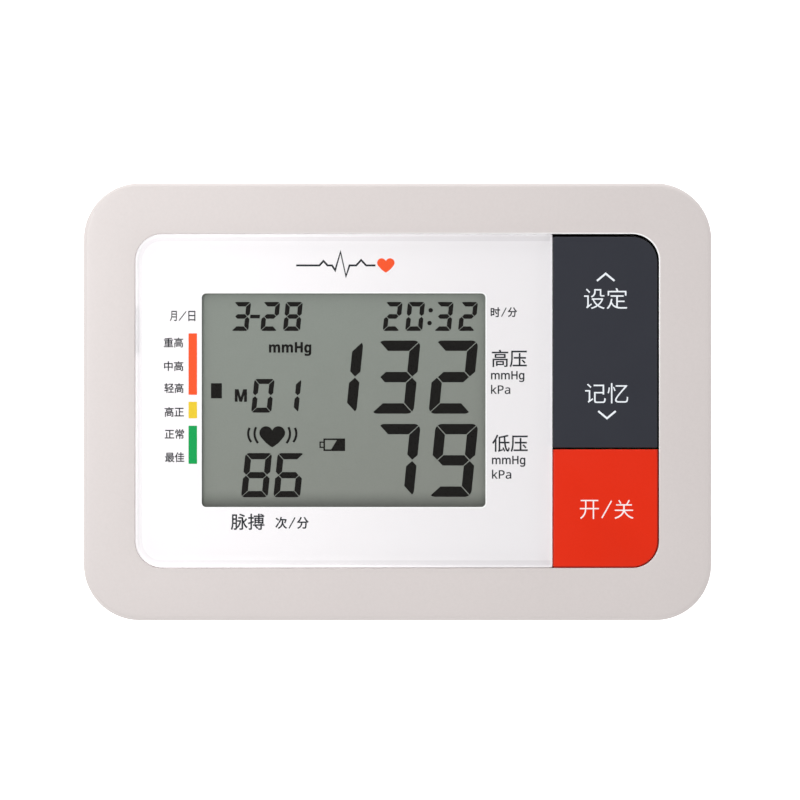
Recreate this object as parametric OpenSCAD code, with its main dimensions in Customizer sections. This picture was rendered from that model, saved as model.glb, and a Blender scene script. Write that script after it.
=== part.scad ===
// Upper arm blood pressure monitor: the desk unit with its keys, display, pump, valve and battery bay.
// Millimetres, +Z up, the feet stand on z = 0 and the display's top edge points to +Y.

/* [Case] */
// Width of the case from left to right
case_w = 140; // [138:0.5:144]
// Depth of the case from front to back
case_d = 97.5; // [97:0.5:102]
// Height of the front case's face above the table
case_h = 42; // [41.8:0.1:43]
// Height of the parting line above the table
parting_z = 24; // [23.8:0.1:24.6]
// Radius of the case's four upright corners
corner_r = 12.5; // [11.5:0.5:13.5]
// Thickness of the case walls
wall = 2.4; // [2.2:0.1:2.6]

/* [Display panel] */
// Width of the recess that holds the lens and the keys
panel_w = 116.6; // [115:0.2:117]
// Depth of that recess from front to back
panel_d = 74.3; // [73.5:0.1:75]
// Width of the clear lens
lens_w = 92.5; // [92:0.1:92.8]
// Thickness of the clear lens
lens_t = 2; // [1.8:0.1:2.2]
// Width of the printed window over the display
window_w = 63.1; // [60:0.1:64]
// Depth of the printed window over the display
window_d = 47.8; // [45:0.1:48.5]

/* [Keys] */
// Gap around each key
key_gap = 0.35; // [0.3:0.05:0.4]
// Depth of the red power key from front to back
power_key_d = 26.2; // [25.8:0.1:26.6]
// How far the power key goes down
power_travel = 1; // [0.8:0.1:1.2]

/* [Battery bay] */
// Diameter of an AA cell
cell_dia = 14.4; // [14:0.1:14.5]
// Length of an AA cell with its terminal
cell_len = 50.5; // [49.5:0.1:50.5]
// Thickness of the battery door
door_t = 2.2; // [2:0.1:2.3]

/* [Air system] */
// Outer diameter of the pump motor
motor_dia = 24.4; // [24:0.1:24.6]
// Radius of the socket that takes the cuff's plug
socket_r = 4.05; // [3.9:0.05:4.2]
// Radius of the hose barbs
barb_r = 2; // [1.9:0.05:2.1]

/* [Hidden] */
$fn = 48;
eps = 0.01;
over = 1;

// case
base_z = 1.5;
floor_t = 2.2;
floor_z = base_z + floor_t;
top_fillet = 1.4;
base_fillet = 4;
inner_w = case_w - 2 * wall;
inner_d = case_d - 2 * wall;
inner_r = corner_r - wall;
lip_h = 1.2;
lip_t = 1.1;
groove = 0.4;

// panel recess: a tray let into the front case
panel_r = 6;
tray_z = case_h - 2;
tray_t = 1.6;
tray_under = tray_z - tray_t;
tray_wall = 1.8;
tape_t = 0.15;
print_t = 0.15;
lens_gap = 0.15;
lens_x0 = -panel_w / 2 + lens_gap;
lens_x1 = lens_x0 + lens_w;
lens_z = tray_z + tape_t + print_t;
lens_r = panel_r - lens_gap;
gate_y = 16;
gate_len = 10;
window_x = -12;
window_y = 0.3;
print_inset = 1.5;

// keys
key_x0 = lens_x1 + key_gap;
key_x1 = panel_w / 2 - key_gap;
key_x = (key_x0 + key_x1) / 2;
key_r = panel_r - key_gap;
key_top = case_h - 0.2;
key_plate = 2;
key_skirt = 1.2;
power_y0 = -panel_d / 2 + key_gap;
power_y1 = power_y0 + power_key_d;
power_y = (power_y0 + power_y1) / 2;
rocker_y0 = power_y1 + key_gap;
rocker_y1 = panel_d / 2 - key_gap;
rocker_y = (rocker_y0 + rocker_y1) / 2;
rocker_z = 36.5;
rocker_reach = 15;
trunnion_r = 1;
trunnion_bore_r = 1.05;
trunnion_len = 2.4;
lug_t = 2;
flange_w = 0.9;
flange_z = tray_under - 1.3;
guide_r = 1.2;
guide_spots = [[key_x0 + 4, power_y0 + 4], [key_x1 - 6, power_y0 + 4]];

// main board and display
board_z = 30;
board_t = 1.6;
board_top = board_z + board_t;
board_w = 132;
board_d = 71;
board_screw_spots = [for (x = [-63.2, 63.2], y = [-20, 20]) [x, y]];
glass_w = 69;
glass_d = 57;
ledge = 3;
glass_t = 1.1;
film_t = 0.2;
polariser_z = tray_under;
front_glass_z = polariser_z - glass_t;
rear_glass_z = front_glass_z - glass_t;
reflector_z = rear_glass_z - film_t;
zebra_len = 62;
zebra_t = 2;
dome_h = 4.4;
dome_spots = [[key_x, rocker_y + rocker_reach], [key_x, rocker_y - rocker_reach], [key_x, power_y]];

// fixings and feet
boss_x = case_w / 2 - 9.2;
boss_y = case_d / 2 - 9.2;
boss_spots = [for (x = [-boss_x, boss_x], y = [-boss_y, boss_y]) [x, y]];
foot_r = 5;
foot_spots = [for (x = [-46, 46], y = [-39, 39]) [x, y]];

// battery bay
bay_x0 = 3.6;
bay_w = 61.2;
bay_d = 58;
bay_wall = 1.6;
bay_top = 19.2;
door_gap = 0.2;
cell_pitch = 15.1;
cell_z = floor_z + 0.5 + cell_dia / 2;
cell_x = [for (i = [0:3]) bay_x0 + 7.85 + i * cell_pitch];
contact_t = 0.4;
tab_x = [(cell_x[0] + cell_x[1]) / 2, (cell_x[2] + cell_x[3]) / 2];
tab_w = 5;
latch_w = 12;
latch_x = bay_x0 + bay_w / 2;

// pump: its axis runs along Y, and the drive pin leans to a point on it
pump_x = -14;
pump_z = 17;
motor_y0 = -36;
motor_y1 = -7;
motor_r = motor_dia / 2;
shaft_r = 1;
housing_r = 12.5;
housing_y1 = 8.6;
lean_y = 5.2;
lean_drop = 6.2;
lean_offset = 0.75;
lean = atan(lean_offset / lean_drop);
arm_reach = 6.5;
pump_screw_reach = 10.3;
cover_y1 = 15;
nipple_y = 19.5;

// valve and air lines
valve_x = -38;
valve_z = pump_z;
manifold_y = 26;
tube_r = 3.2;
tube_bore = barb_r + 0.05;
bend_r = 6;
jack_y = manifold_y;
jack_z = pump_z;

// power socket
dc_x = 20;
dc_z = 13;
dc_bore = 2.9;
dc_pin_r = 1;

// ---------------------------------------------------------------- shapes shared by several pieces

// A rectangle with its own radius at each corner: low left, low right, high right, high left.
module corner_plate(x0, y0, x1, y1, radii) {
    corners = [[x0, y0, 1, 1], [x1, y0, -1, 1], [x1, y1, -1, -1], [x0, y1, 1, -1]];
    difference() {
        translate([x0, y0]) square([x1 - x0, y1 - y0]);
        for (i = [0:3]) if (radii[i] > 0)
            translate([corners[i][0], corners[i][1]])
                scale_sign(corners[i][2], corners[i][3])
                    difference() {
                        translate([-over, -over]) square([radii[i] + over, radii[i] + over]);
                        translate([radii[i], radii[i]]) circle(radii[i]);
                    }
    }
}

// Turns a corner cut to face the other way along X, Y or both.
module scale_sign(sx, sy) {
    mirror([sx < 0 ? 1 : 0, 0]) mirror([0, sy < 0 ? 1 : 0]) children();
}

// An upright block with round corners, centred on the origin, from z to z + h.
module round_block(w, d, h, r, z) {
    translate([0, 0, z]) linear_extrude(h)
        corner_plate(-w / 2, -d / 2, w / 2, d / 2, [r, r, r, r]);
}

// Half of a block's outline from the corner axis outwards, with the top edge rounded.
module edge_profile(r, h, f) {
    square([r, h - f]);
    square([r - f, h]);
    translate([r - f, h - f]) circle(f);
}

// A block with round corners whose top edge is rounded by f.
module soft_block(w, d, h, r, f) {
    cx = w / 2 - r;
    cy = d / 2 - r;
    translate([-cx, -cy, 0]) cube([2 * cx, 2 * cy, h]);
    for (a = [0, 1]) mirror([a, 0, 0]) {
        translate([cx, cy, 0]) rotate([90, 0, 0]) linear_extrude(2 * cy) edge_profile(r, h, f);
        for (b = [0, 1]) mirror([0, b, 0])
            translate([cx, cy, 0]) rotate_extrude(angle = 90) edge_profile(r, h, f);
    }
    for (b = [0, 1]) mirror([0, b, 0])
        translate([-cx, cy, 0]) rotate([90, 0, 90]) linear_extrude(2 * cx) edge_profile(r, h, f);
}

// A cylinder along Y from y0 to y1 on the axis through x and z.
module y_rod(r, y0, y1, x = 0, z = 0) {
    translate([x, y0, z]) rotate([-90, 0, 0]) cylinder(r = r, h = y1 - y0);
}

// A cylinder along X from x0 to x1 on the axis through y and z.
module x_rod(r, x0, x1, y = 0, z = 0) {
    translate([x0, y, z]) rotate([0, 90, 0]) cylinder(r = r, h = x1 - x0);
}

module y_tube(r, bore, y0, y1, x = 0, z = 0) {
    difference() {
        y_rod(r, y0, y1, x, z);
        y_rod(bore, y0 - over, y1 + over, x, z);
    }
}

module x_tube(r, bore, x0, x1, y = 0, z = 0) {
    difference() {
        x_rod(r, x0, x1, y, z);
        x_rod(bore, x0 - over, x1 + over, y, z);
    }
}

// Places children in the pump's own frame, whose origin is on the pump axis at y = 0.
module on_pump() {
    translate([pump_x, 0, pump_z]) children();
}

// Places children on the leaning drive-pin axis, with the lean point as origin and the axis along Y.
module on_lean() {
    on_pump() translate([0, lean_y, 0]) rotate([-lean, 0, 0]) children();
}

// Repeats children three times round the pump axis, starting from the given angle.
module thrice(start) {
    for (a = [0:120:240]) rotate([0, a + start, 0]) children();
}

// A round-wire sweep along a path. The reference vector is never parallel to the path.
function unit(v) = v / norm(v);
function along(path, i) = unit(path[min(i + 1, len(path) - 1)] - path[max(i - 1, 0)]);
function ring(centre, t, ref, r, n) = let (u = unit(cross(t, ref)), v = cross(t, u))
    [for (k = [0:n - 1]) centre + r * (cos(360 * k / n) * u + sin(360 * k / n) * v)];
module sweep(path, r, ref, n = 6) {
    last = len(path) - 1;
    points = [for (i = [0:last]) each ring(path[i], along(path, i), ref, r, n)];
    walls = [for (i = [0:last - 1], k = [0:n - 1]) let (m = (k + 1) % n)
        [i * n + k, (i + 1) * n + k, (i + 1) * n + m, i * n + m]];
    ends = [[for (k = [0:n - 1]) k], [for (k = [n - 1:-1:0]) last * n + k]];
    polyhedron(points, concat(walls, ends), convexity = 4);
}

// Points of a helix along +Y whose radius runs from r0 to r1.
function helix(r0, r1, length, turns, steps) = [for (i = [0:turns * steps])
    let (t = i / (turns * steps), r = r0 + (r1 - r0) * t, a = 360 * i / steps)
    [r * cos(a), length * t, r * sin(a)]];

// Points of a Bezier curve from a to d with the handles b and c.
function bend(a, b, c, d, steps = 12) = [for (i = [0:steps]) let (t = i / steps, s = 1 - t)
    s * s * s * a + 3 * s * s * t * b + 3 * s * t * t * c + t * t * t * d];

// ---------------------------------------------------------------- case

module front_case() color([0.85, 0.82, 0.81]) difference() {
    union() {
        front_shell();
        for (p = boss_spots) translate([p.x, p.y, parting_z])
            cylinder(r = 3.6, h = case_h - wall + eps - parting_z);
        for (p = board_screw_spots) translate([p.x, p.y, board_top])
            cylinder(r = 2.6, h = case_h - wall + eps - board_top);
        rocker_lugs();
    }
    for (p = boss_spots) translate([p.x, p.y, parting_z - over]) cylinder(r = 1.3, h = 11);
    for (p = board_screw_spots) translate([p.x, p.y, board_top - over]) cylinder(r = 0.92, h = 7);
    x_rod(trunnion_bore_r, key_x0 - 6, key_x1 + 6, rocker_y, rocker_z);
}

module front_shell() difference() {
    translate([0, 0, parting_z]) soft_block(case_w, case_d, case_h - parting_z, corner_r, top_fillet);
    round_block(inner_w, inner_d, tray_under - parting_z + over, inner_r, parting_z - over);
    difference() {
        round_block(inner_w, inner_d, case_h - wall - tray_under + eps, inner_r, tray_under - eps);
        round_block(panel_w + 2 * tray_wall, panel_d + 2 * tray_wall, case_h, panel_r + tray_wall, 0);
    }
    round_block(inner_w + 2 * (lip_t + 0.1), inner_d + 2 * (lip_t + 0.1), over + lip_h + 0.2,
        inner_r + lip_t + 0.1, parting_z - over);
    round_block(panel_w, panel_d, case_h, panel_r, tray_z);
    translate([0, 0, tray_under - over]) linear_extrude(case_h)
        corner_plate(lens_x1, -panel_d / 2, panel_w / 2, panel_d / 2, [0, panel_r, panel_r, 0]);
    translate([window_x, window_y, 0]) round_block(66.5, 51, case_h, 2, tray_under - over);
}

module rocker_lugs() {
    for (x = [key_x0 - 0.55 - lug_t, key_x1 + 0.6])
        translate([x, rocker_y - 2.6, rocker_z - 1.8])
            cube([lug_t, 5.2, tray_under + 1 - rocker_z + 1.8]);
}

module rear_case() color([0.93, 0.93, 0.92]) difference() {
    union() {
        difference() {
            rear_shell();
            round_block(inner_w, inner_d, parting_z, inner_r, floor_z);
        }
        for (p = boss_spots) translate([p.x, p.y, floor_z - eps])
            cylinder(r = 4.2, h = parting_z - floor_z + eps);
        bay_walls();
        pump_ribs();
        valve_post();
    }
    for (p = boss_spots) translate([p.x, p.y, -over]) {
        cylinder(r = 3.2, h = 14 + over);
        cylinder(r = 1.7, h = parting_z + 2 * over);
    }
    for (p = foot_spots) translate([p.x, p.y, 0]) cylinder(r = foot_r + 0.1, h = base_z + 0.7);
    translate([bay_x0, -bay_d / 2, 0]) cube([bay_w, bay_d, bay_top]);
    for (x = tab_x) translate([x - 3, -bay_d / 2 - 3, floor_z]) cube([6, 3.5, 3.8]);
    translate([latch_x - 10, bay_d / 2 - eps, 0]) cube([20, 7, base_z + 1.2]);
    x_rod(6.1, -case_w, -inner_w / 2 + over, jack_y, jack_z);
    y_rod(4, inner_d / 2 - over, case_d, dc_x, dc_z);
    for (i = [-2:2]) translate([valve_x - 6 + i * 4, 20, 0]) cube([1.5, 12, floor_z + over]);
    for (a = [0:60:300]) rotate_about([-52, -20], a) translate([3, 0, 0]) cylinder(r = 0.75, h = floor_z + over);
    translate([-52, -20, 0]) cylinder(r = 0.75, h = floor_z + over);
}

// Turns children about an upright axis that stands at a point.
module rotate_about(p, a) {
    translate([p.x, p.y, 0]) rotate([0, 0, a]) children();
}

module rear_shell() {
    difference() {
        translate([0, 0, parting_z]) mirror([0, 0, 1])
            soft_block(case_w, case_d, parting_z - base_z, corner_r, base_fillet);
        difference() {
            round_block(case_w + over, case_d + over, groove + over, corner_r + over / 2, parting_z - groove);
            round_block(case_w - 2 * groove, case_d - 2 * groove, case_h, corner_r - groove, 0);
        }
    }
    round_block(inner_w + 2 * lip_t, inner_d + 2 * lip_t, lip_h + over, inner_r + lip_t, parting_z - over);
}

module bay_walls() {
    translate([bay_x0 - bay_wall, -bay_d / 2 - bay_wall, floor_z - eps])
        cube([bay_w + 2 * bay_wall, bay_d + 2 * bay_wall, bay_top + 1.5 - floor_z]);
}

module pump_ribs() difference() {
    for (y = [-33.5, -25.5, -20.5, -12.5])
        translate([pump_x - 13, y, floor_z - eps]) cube([26, 1, 2.3]);
    on_pump() y_rod(motor_r + 0.4, -50, 10);
}

module valve_post() {
    difference() {
        translate([valve_x - 6, -4, floor_z - eps]) cube([12, 12, 6.8]);
        translate([valve_x - 4.5, -2.5, floor_z + 1]) cube([9, 9, 10]);
    }
}

module battery_door() color([0.91, 0.91, 0.90]) {
    x0 = bay_x0 + door_gap;
    y0 = -bay_d / 2 + door_gap;
    w = bay_w - 2 * door_gap;
    d = bay_d - 2 * door_gap;
    difference() {
        translate([x0, y0, base_z]) cube([w, d, door_t]);
        for (s = [-1, 1]) translate([latch_x + s * (latch_w / 2 + 0.4) - 0.4, -y0 - 9, 0])
            cube([0.8, 10, 10]);
        for (i = [0:3]) translate([latch_x - 4.5, -y0 - 2.4 - i * 1.6, 0])
            cube([9, 0.8, base_z + 0.5]);
    }
    for (x = tab_x) {
        translate([x - tab_w / 2, y0 + 0.1, base_z + door_t - eps]) cube([tab_w, 2, 1.6]);
        translate([x - tab_w / 2, y0 - 2, base_z + door_t + 0.15]) cube([tab_w, 2.5, 1.45]);
    }
    for (x = [tab_x[0], latch_x, tab_x[1]])
        translate([x - 0.6, -23, base_z + door_t - eps]) cube([1.2, 42, 1.2]);
}

module rubber_feet() color([0.25, 0.25, 0.26]) for (p = foot_spots) translate([p.x, p.y, 0]) {
    cylinder(r1 = foot_r - 0.4, r2 = foot_r, h = 0.4);
    translate([0, 0, 0.4]) cylinder(r = foot_r, h = base_z + 0.3);
}

// A self-tapping screw that points up, with its head's underside at z = 0 and a cross recess.
module screw(head_r, head_h, shank_r, length) {
    difference() {
        union() {
            translate([0, 0, -head_h]) cylinder(r = head_r, h = head_h);
            translate([0, 0, -eps]) cylinder(r = shank_r, h = length);
        }
        for (a = [0, 90]) rotate([0, 0, a])
            translate([-head_r * 0.6, -0.3, -head_h - over]) cube([head_r * 1.2, 0.6, head_h * 0.6 + over]);
    }
}

module case_screws() color([0.6, 0.6, 0.62])
    for (p = boss_spots) translate([p.x, p.y, 14]) screw(2.8, 2, 1.28, 18);

// ---------------------------------------------------------------- display panel

module display_lens() color([0.9, 0.93, 0.95, 0.4]) translate([0, 0, lens_z]) {
    linear_extrude(lens_t)
        corner_plate(lens_x0, -lens_edge_y(), lens_x1, lens_edge_y(), [lens_r, 0.5, 0.5, lens_r]);
    translate([lens_x0 - 0.1, gate_y - gate_len / 2, 0.2]) cube([1, gate_len, lens_t - 0.6]);
}

function lens_edge_y() = panel_d / 2 - lens_gap;

module lens_print() color([0.96, 0.96, 0.97]) translate([0, 0, lens_z - print_t]) difference() {
    linear_extrude(print_t) corner_plate(lens_x0 + print_inset, -lens_edge_y() + print_inset,
        lens_x1 - 0.5, lens_edge_y() - print_inset, [lens_r - print_inset, 0, 0, lens_r - print_inset]);
    translate([window_x, window_y, 0]) round_block(window_w, window_d, 4, 1, -2);
}

module lens_tape() color([0.8, 0.8, 0.83]) translate([0, 0, tray_z]) difference() {
    linear_extrude(tape_t) corner_plate(lens_x0, -lens_edge_y(), lens_x1 - 0.5, lens_edge_y(),
        [lens_r, 0, 0, lens_r]);
    translate([window_x, window_y, 0]) round_block(70, 54, 4, 2, -2);
}

module on_glass(z) {
    translate([window_x, window_y, z]) children();
}

module lcd_polariser() color([0.55, 0.57, 0.53]) on_glass(polariser_z) round_block(66, 50.5, film_t, 2, 0);

module lcd_front_glass() color([0.7, 0.78, 0.75, 0.5]) on_glass(front_glass_z)
    translate([-glass_w / 2, -glass_d / 2, 0]) cube([glass_w, glass_d, glass_t]);

module lcd_rear_glass() color([0.66, 0.74, 0.72, 0.5]) on_glass(rear_glass_z)
    translate([-glass_w / 2, -glass_d / 2 + ledge, 0]) cube([glass_w, glass_d - 2 * ledge, glass_t]);

module lcd_reflector() color([0.62, 0.65, 0.6]) on_glass(reflector_z)
    translate([-33, -24.5, 0]) cube([66, 49, film_t]);

module lcd_frame() color([0.94, 0.94, 0.92]) on_glass(board_top) {
    h = tray_under - board_top - 0.1;
    difference() {
        translate([-36.5, -30.5, 0]) cube([73, 61, h]);
        translate([-glass_w / 2 - 0.2, -glass_d / 2 - 0.2, reflector_z - board_top])
            cube([glass_w + 0.4, glass_d + 0.4, h]);
        translate([-glass_w / 2 - 0.2, -glass_d / 2 + ledge, -over])
            cube([glass_w + 0.4, glass_d - 2 * ledge, reflector_z - board_top - 1.2 + over]);
        for (s = [-1, 1]) translate([-zebra_len / 2 - 0.2, s * zebra_y() - zebra_t / 2 - 0.2, -over])
            cube([zebra_len + 0.4, zebra_t + 0.4, h + 2 * over]);
    }
}

function zebra_y() = glass_d / 2 - ledge / 2;

module zebra_strips() color([0.3, 0.3, 0.34]) on_glass(board_top) for (s = [-1, 1])
    translate([-zebra_len / 2, s * zebra_y() - zebra_t / 2, 0])
        cube([zebra_len, zebra_t, front_glass_z - board_top]);

// ---------------------------------------------------------------- keys

module mode_rocker() color([0.21, 0.22, 0.25]) {
    translate([0, 0, key_top - key_plate]) linear_extrude(key_plate)
        corner_plate(key_x0, rocker_y0, key_x1, rocker_y1, [0, 0, key_r, 0]);
    key_skirt_ring(rocker_y0, rocker_y1, [0, 0, key_r, 0], rocker_z - 1.1);
    for (s = [-1, 1]) translate([key_x, rocker_y + s * rocker_reach, board_top + dome_h + 0.05])
        cylinder(r = 2, h = key_top - key_plate + eps - board_top - dome_h - 0.05);
    x_rod(trunnion_r, key_x0 - trunnion_len, key_x0 + 0.6, rocker_y, rocker_z);
    x_rod(trunnion_r, key_x1 - 0.6, key_x1 + trunnion_len, rocker_y, rocker_z);
}

// The wall under a key's edge, from z up to the plate.
module key_skirt_ring(y0, y1, radii, z) {
    t = key_skirt;
    translate([0, 0, z]) linear_extrude(key_top - key_plate + eps - z) difference() {
        corner_plate(key_x0, y0, key_x1, y1, radii);
        corner_plate(key_x0 + t, y0 + t, key_x1 - t, y1 - t, [for (r = radii) max(r - t, 0)]);
    }
}

module power_key() color([0.88, 0.19, 0.09]) {
    radii = [0, key_r, 0, 0];
    translate([0, 0, key_top - key_plate]) linear_extrude(key_plate)
        corner_plate(key_x0, power_y0, key_x1, power_y1, radii);
    key_skirt_ring(power_y0, power_y1, radii, flange_z);
    translate([0, 0, flange_z]) linear_extrude(1) difference() {
        corner_plate(key_x0 - flange_w, power_y0 - flange_w, key_x1 + flange_w, power_y1,
            [0, key_r + flange_w, 0, 0]);
        corner_plate(key_x0 + key_skirt, power_y0 + key_skirt, key_x1 - key_skirt, power_y1 - key_skirt,
            [0, key_r - key_skirt, 0, 0]);
    }
    translate([key_x, power_y, board_top + dome_h + 0.05])
        cylinder(r = 2, h = key_top - key_plate + eps - board_top - dome_h - 0.05);
    for (p = guide_spots) translate([p.x, p.y, board_z - 1])
        cylinder(r = guide_r, h = key_top - key_plate + eps - board_z + 1);
}

// A silicone return dome: a foot on the board, a thin cone and a solid top pad.
module key_dome(i) color([0.82, 0.83, 0.84]) translate([dome_spots[i].x, dome_spots[i].y, board_top])
    rotate_extrude() polygon([[5, 0], [5, 0.8], [3.8, 0.8], [2.5, 3], [2.5, dome_h], [0, dome_h],
        [0, 2.4], [1.7, 2.4], [3.1, 0.4], [3.1, 0]]);

module set_dome() key_dome(0);
module memory_dome() key_dome(1);
module power_dome() key_dome(2);

// ---------------------------------------------------------------- main board

module main_board() color([0.1, 0.4, 0.22]) difference() {
    round_block(board_w, board_d, board_t, 1.5, board_z);
    for (p = board_screw_spots) translate([p.x, p.y, 0]) cylinder(r = 1.2, h = case_h);
    for (p = guide_spots) translate([p.x, p.y, 0]) cylinder(r = guide_r + 0.3, h = case_h);
}

module board_screws() color([0.6, 0.6, 0.62])
    for (p = board_screw_spots) translate([p.x, p.y, board_z]) screw(2, 1.4, 0.9, 7);

// A flat chip under the board with legs on two sides.
module two_row_chip(x, y, w, d, h, legs) translate([x, y, board_z]) {
    translate([-w / 2, -d / 2, -h]) cube([w, d, h - 0.1]);
    pitch = w / legs;
    for (i = [0:legs - 1], s = [-1, 1])
        translate([-w / 2 + (i + 0.5) * pitch - 0.2, s * (d / 2 + 0.5) - 0.55, -0.6]) cube([0.4, 1.1, 0.6]);
}

module processor_chip() color([0.12, 0.12, 0.13]) {
    two_row_chip(30, 4, 12, 12, 1.5, 12);
    translate([30, 4, 0]) rotate([0, 0, 90]) translate([-30, -4, 0]) two_row_chip(30, 4, 12, 12, 1.5, 12);
}

module small_chips() color([0.14, 0.14, 0.15])
    for (p = [[12, -18], [28, -20], [50, 16], [12, 22]]) two_row_chip(p.x, p.y, 5, 4, 1.4, 4);

module crystal_can() color([0.75, 0.76, 0.78]) translate([16, 5, board_z - 3.4]) {
    translate([-1.8, -3.2, 0]) cube([3.6, 6.4, 3.4]);
    for (s = [-1, 1]) translate([0, s * 3.2, 0]) cylinder(r = 1.8, h = 3.4);
}

module capacitors() color([0.18, 0.2, 0.3])
    for (p = [[50, -5], [50, -14], [42, 22], [-52, 6]]) translate([p.x, p.y, board_z - 7]) {
        cylinder(r = 3.15, h = 6.4);
        translate([0, 0, 6.4]) cylinder(r = 2.8, h = 0.6);
    }

module buzzer() color([0.1, 0.1, 0.11]) translate([-52, -20, board_z - 7]) difference() {
    cylinder(r = 6, h = 7);
    translate([0, 0, -over]) cylinder(r = 1, h = 3);
}

module pressure_sensor() color([0.88, 0.88, 0.86]) {
    translate([valve_x, manifold_y, 0]) difference() {
        union() {
            translate([-5, -4, 26.5]) cube([10, 8, 3.5]);
            translate([0, 0, 23.6]) cylinder(r = barb_r, h = 3);
        }
        translate([0, 0, 22]) cylinder(r = 0.7, h = 6);
    }
}

header_spots = [[-42, -31], [-52, -7], [30, -32.5], [4, 32.5]];
module wire_headers() color([0.93, 0.91, 0.85])
    for (p = header_spots) translate([p.x, p.y, board_z - 6]) difference() {
        translate([-3.5, -2.5, 0]) cube([7, 5, 6]);
        translate([-2.7, -1.7, -over]) cube([5.4, 3.4, 4]);
    }

// ---------------------------------------------------------------- pump motor

module motor_can() color([0.72, 0.73, 0.75]) on_pump() difference() {
    y_rod(motor_r, motor_y0, motor_y1);
    y_rod(motor_r - 1, motor_y0 - over, motor_y1 - 1);
    y_rod(3, motor_y0, motor_y1 + over);
}

module motor_end_cap() color([0.2, 0.2, 0.21]) on_pump() difference() {
    union() {
        y_rod(motor_r, motor_y0 - 2.5, motor_y0);
        y_rod(motor_r - 1.1, motor_y0, motor_y0 + 1.5);
        for (s = [-1, 1]) translate([s * 6 - 1.2, motor_y0 - 5.5, -0.2]) cube([2.4, 4, 0.4]);
    }
    y_rod(3, motor_y0 - 2, motor_y0 + 2);
}

module motor_magnets() color([0.22, 0.22, 0.23]) on_pump() difference() {
    y_tube(motor_r - 1.05, 9.3, -31, -11);
    for (s = [-1, 1]) translate([-14, -32, s * 8 - 5]) translate([0, 0, s * 5]) cube([28, 22, 10]);
}

module motor_bushes() color([0.7, 0.55, 0.3]) on_pump() {
    y_tube(3, shaft_r + 0.03, motor_y0 - 2, motor_y0 + 1.4);
    y_tube(3, shaft_r + 0.03, motor_y1 - 2.4, motor_y1);
}

module motor_brushes() color([0.35, 0.3, 0.27]) on_pump() for (s = [-1, 1]) {
    translate([s * 4.6 - 1.5, -33, -1]) cube([3, 3, 2]);
    translate([s * 6.5 - 0.4, motor_y0 + 1.5, -1]) cube([0.8, 3, 2]);
}

module motor_shaft() color([0.8, 0.8, 0.82]) on_pump() y_rod(shaft_r, motor_y0 - 1.8, -1.6);

module armature() color([0.45, 0.3, 0.2]) on_pump() difference() {
    y_rod(8.6, -29, -13);
    y_rod(shaft_r, -40, 0);
    thrice(30) translate([-1.2, -30, 4.2]) cube([2.4, 18, 6]);
}

module commutator() color([0.75, 0.45, 0.25]) on_pump() y_tube(3, shaft_r, -33.4, -29.2);

// ---------------------------------------------------------------- pump head

module eccentric_hub() color([0.85, 0.85, 0.83]) difference() {
    on_pump() y_rod(4.5, -4.6, 1.4);
    on_pump() y_rod(shaft_r, -6, -1.6);
    on_lean() y_rod(0.8, -6.6, 0);
}

module drive_pin() color([0.78, 0.79, 0.8]) on_lean() y_rod(0.75, -6.4, 1.2);

module wobble_plate() color([0.93, 0.93, 0.9]) on_lean() difference() {
    union() {
        y_rod(3.2, -1.2, 1.2);
        thrice(0) {
            translate([-1.5, -1.2, 0]) cube([3, 2.4, arm_reach]);
            y_rod(2.4, -1.2, 1.2, 0, arm_reach);
        }
    }
    y_rod(0.75, -2, 2);
    thrice(0) y_rod(1.6, -2, 2, 0, arm_reach);
}

module pump_housing() color([0.88, 0.88, 0.86]) on_pump() difference() {
    union() {
        difference() {
            y_rod(housing_r, motor_y1, housing_y1);
            y_rod(11, motor_y1 + 2, housing_y1 + over);
        }
        thrice(60) y_rod(1.8, motor_y1 + 1, housing_y1 - 0.1, 0, pump_screw_reach);
    }
    y_rod(3.4, motor_y1 - over, motor_y1 + 3);
    thrice(60) y_rod(0.92, housing_y1 - 8, housing_y1 + over, 0, pump_screw_reach);
}

module pump_diaphragm() color([0.15, 0.15, 0.16]) on_pump() difference() {
    union() {
        y_rod(housing_r - 0.1, housing_y1, housing_y1 + 1);
        thrice(0) {
            y_rod(3.2, housing_y1 - 0.9, housing_y1 + eps, 0, arm_reach);
            y_rod(0.9, 3.4, housing_y1, 0, arm_reach);
        }
    }
    thrice(60) y_rod(1, housing_y1 - over, housing_y1 + 2, 0, pump_screw_reach);
}

module pump_valve_plate() color([0.9, 0.9, 0.87]) on_pump() difference() {
    y_rod(housing_r - 0.1, housing_y1 + 1, housing_y1 + 3);
    thrice(60) y_rod(1, housing_y1, housing_y1 + 4, 0, pump_screw_reach);
    thrice(0) for (x = [-1.4, 1.4]) y_rod(0.6, housing_y1, housing_y1 + 4, x, arm_reach);
}

module pump_cover() color([0.88, 0.88, 0.86]) on_pump() difference() {
    union() {
        y_rod(housing_r, housing_y1 + 3, cover_y1);
        y_rod(barb_r, cover_y1 - eps, nipple_y);
    }
    y_rod(8.5, housing_y1 + 2, housing_y1 + 4.4);
    y_rod(0.9, housing_y1 + 2, nipple_y + over);
    thrice(60) y_rod(1, housing_y1 + 2, cover_y1 + over, 0, pump_screw_reach);
    for (x = [-3, 3]) y_rod(0.5, housing_y1 + 2, cover_y1 + over, x, -5);
}

module pump_screws() color([0.62, 0.62, 0.64]) on_pump() thrice(60)
    translate([0, cover_y1, pump_screw_reach]) rotate([90, 0, 0]) screw(1.7, 1.2, 0.9, 13);

module pump_saddles() color([0.2, 0.2, 0.21]) for (y = [-32.4, -19.4]) difference() {
    translate([pump_x - 13, y, floor_z]) cube([26, 6.7, 7]);
    on_pump() y_rod(motor_r + 0.05, -50, 10);
}

// ---------------------------------------------------------------- exhaust valve

module on_valve() {
    translate([valve_x, 0, valve_z]) children();
}

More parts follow.
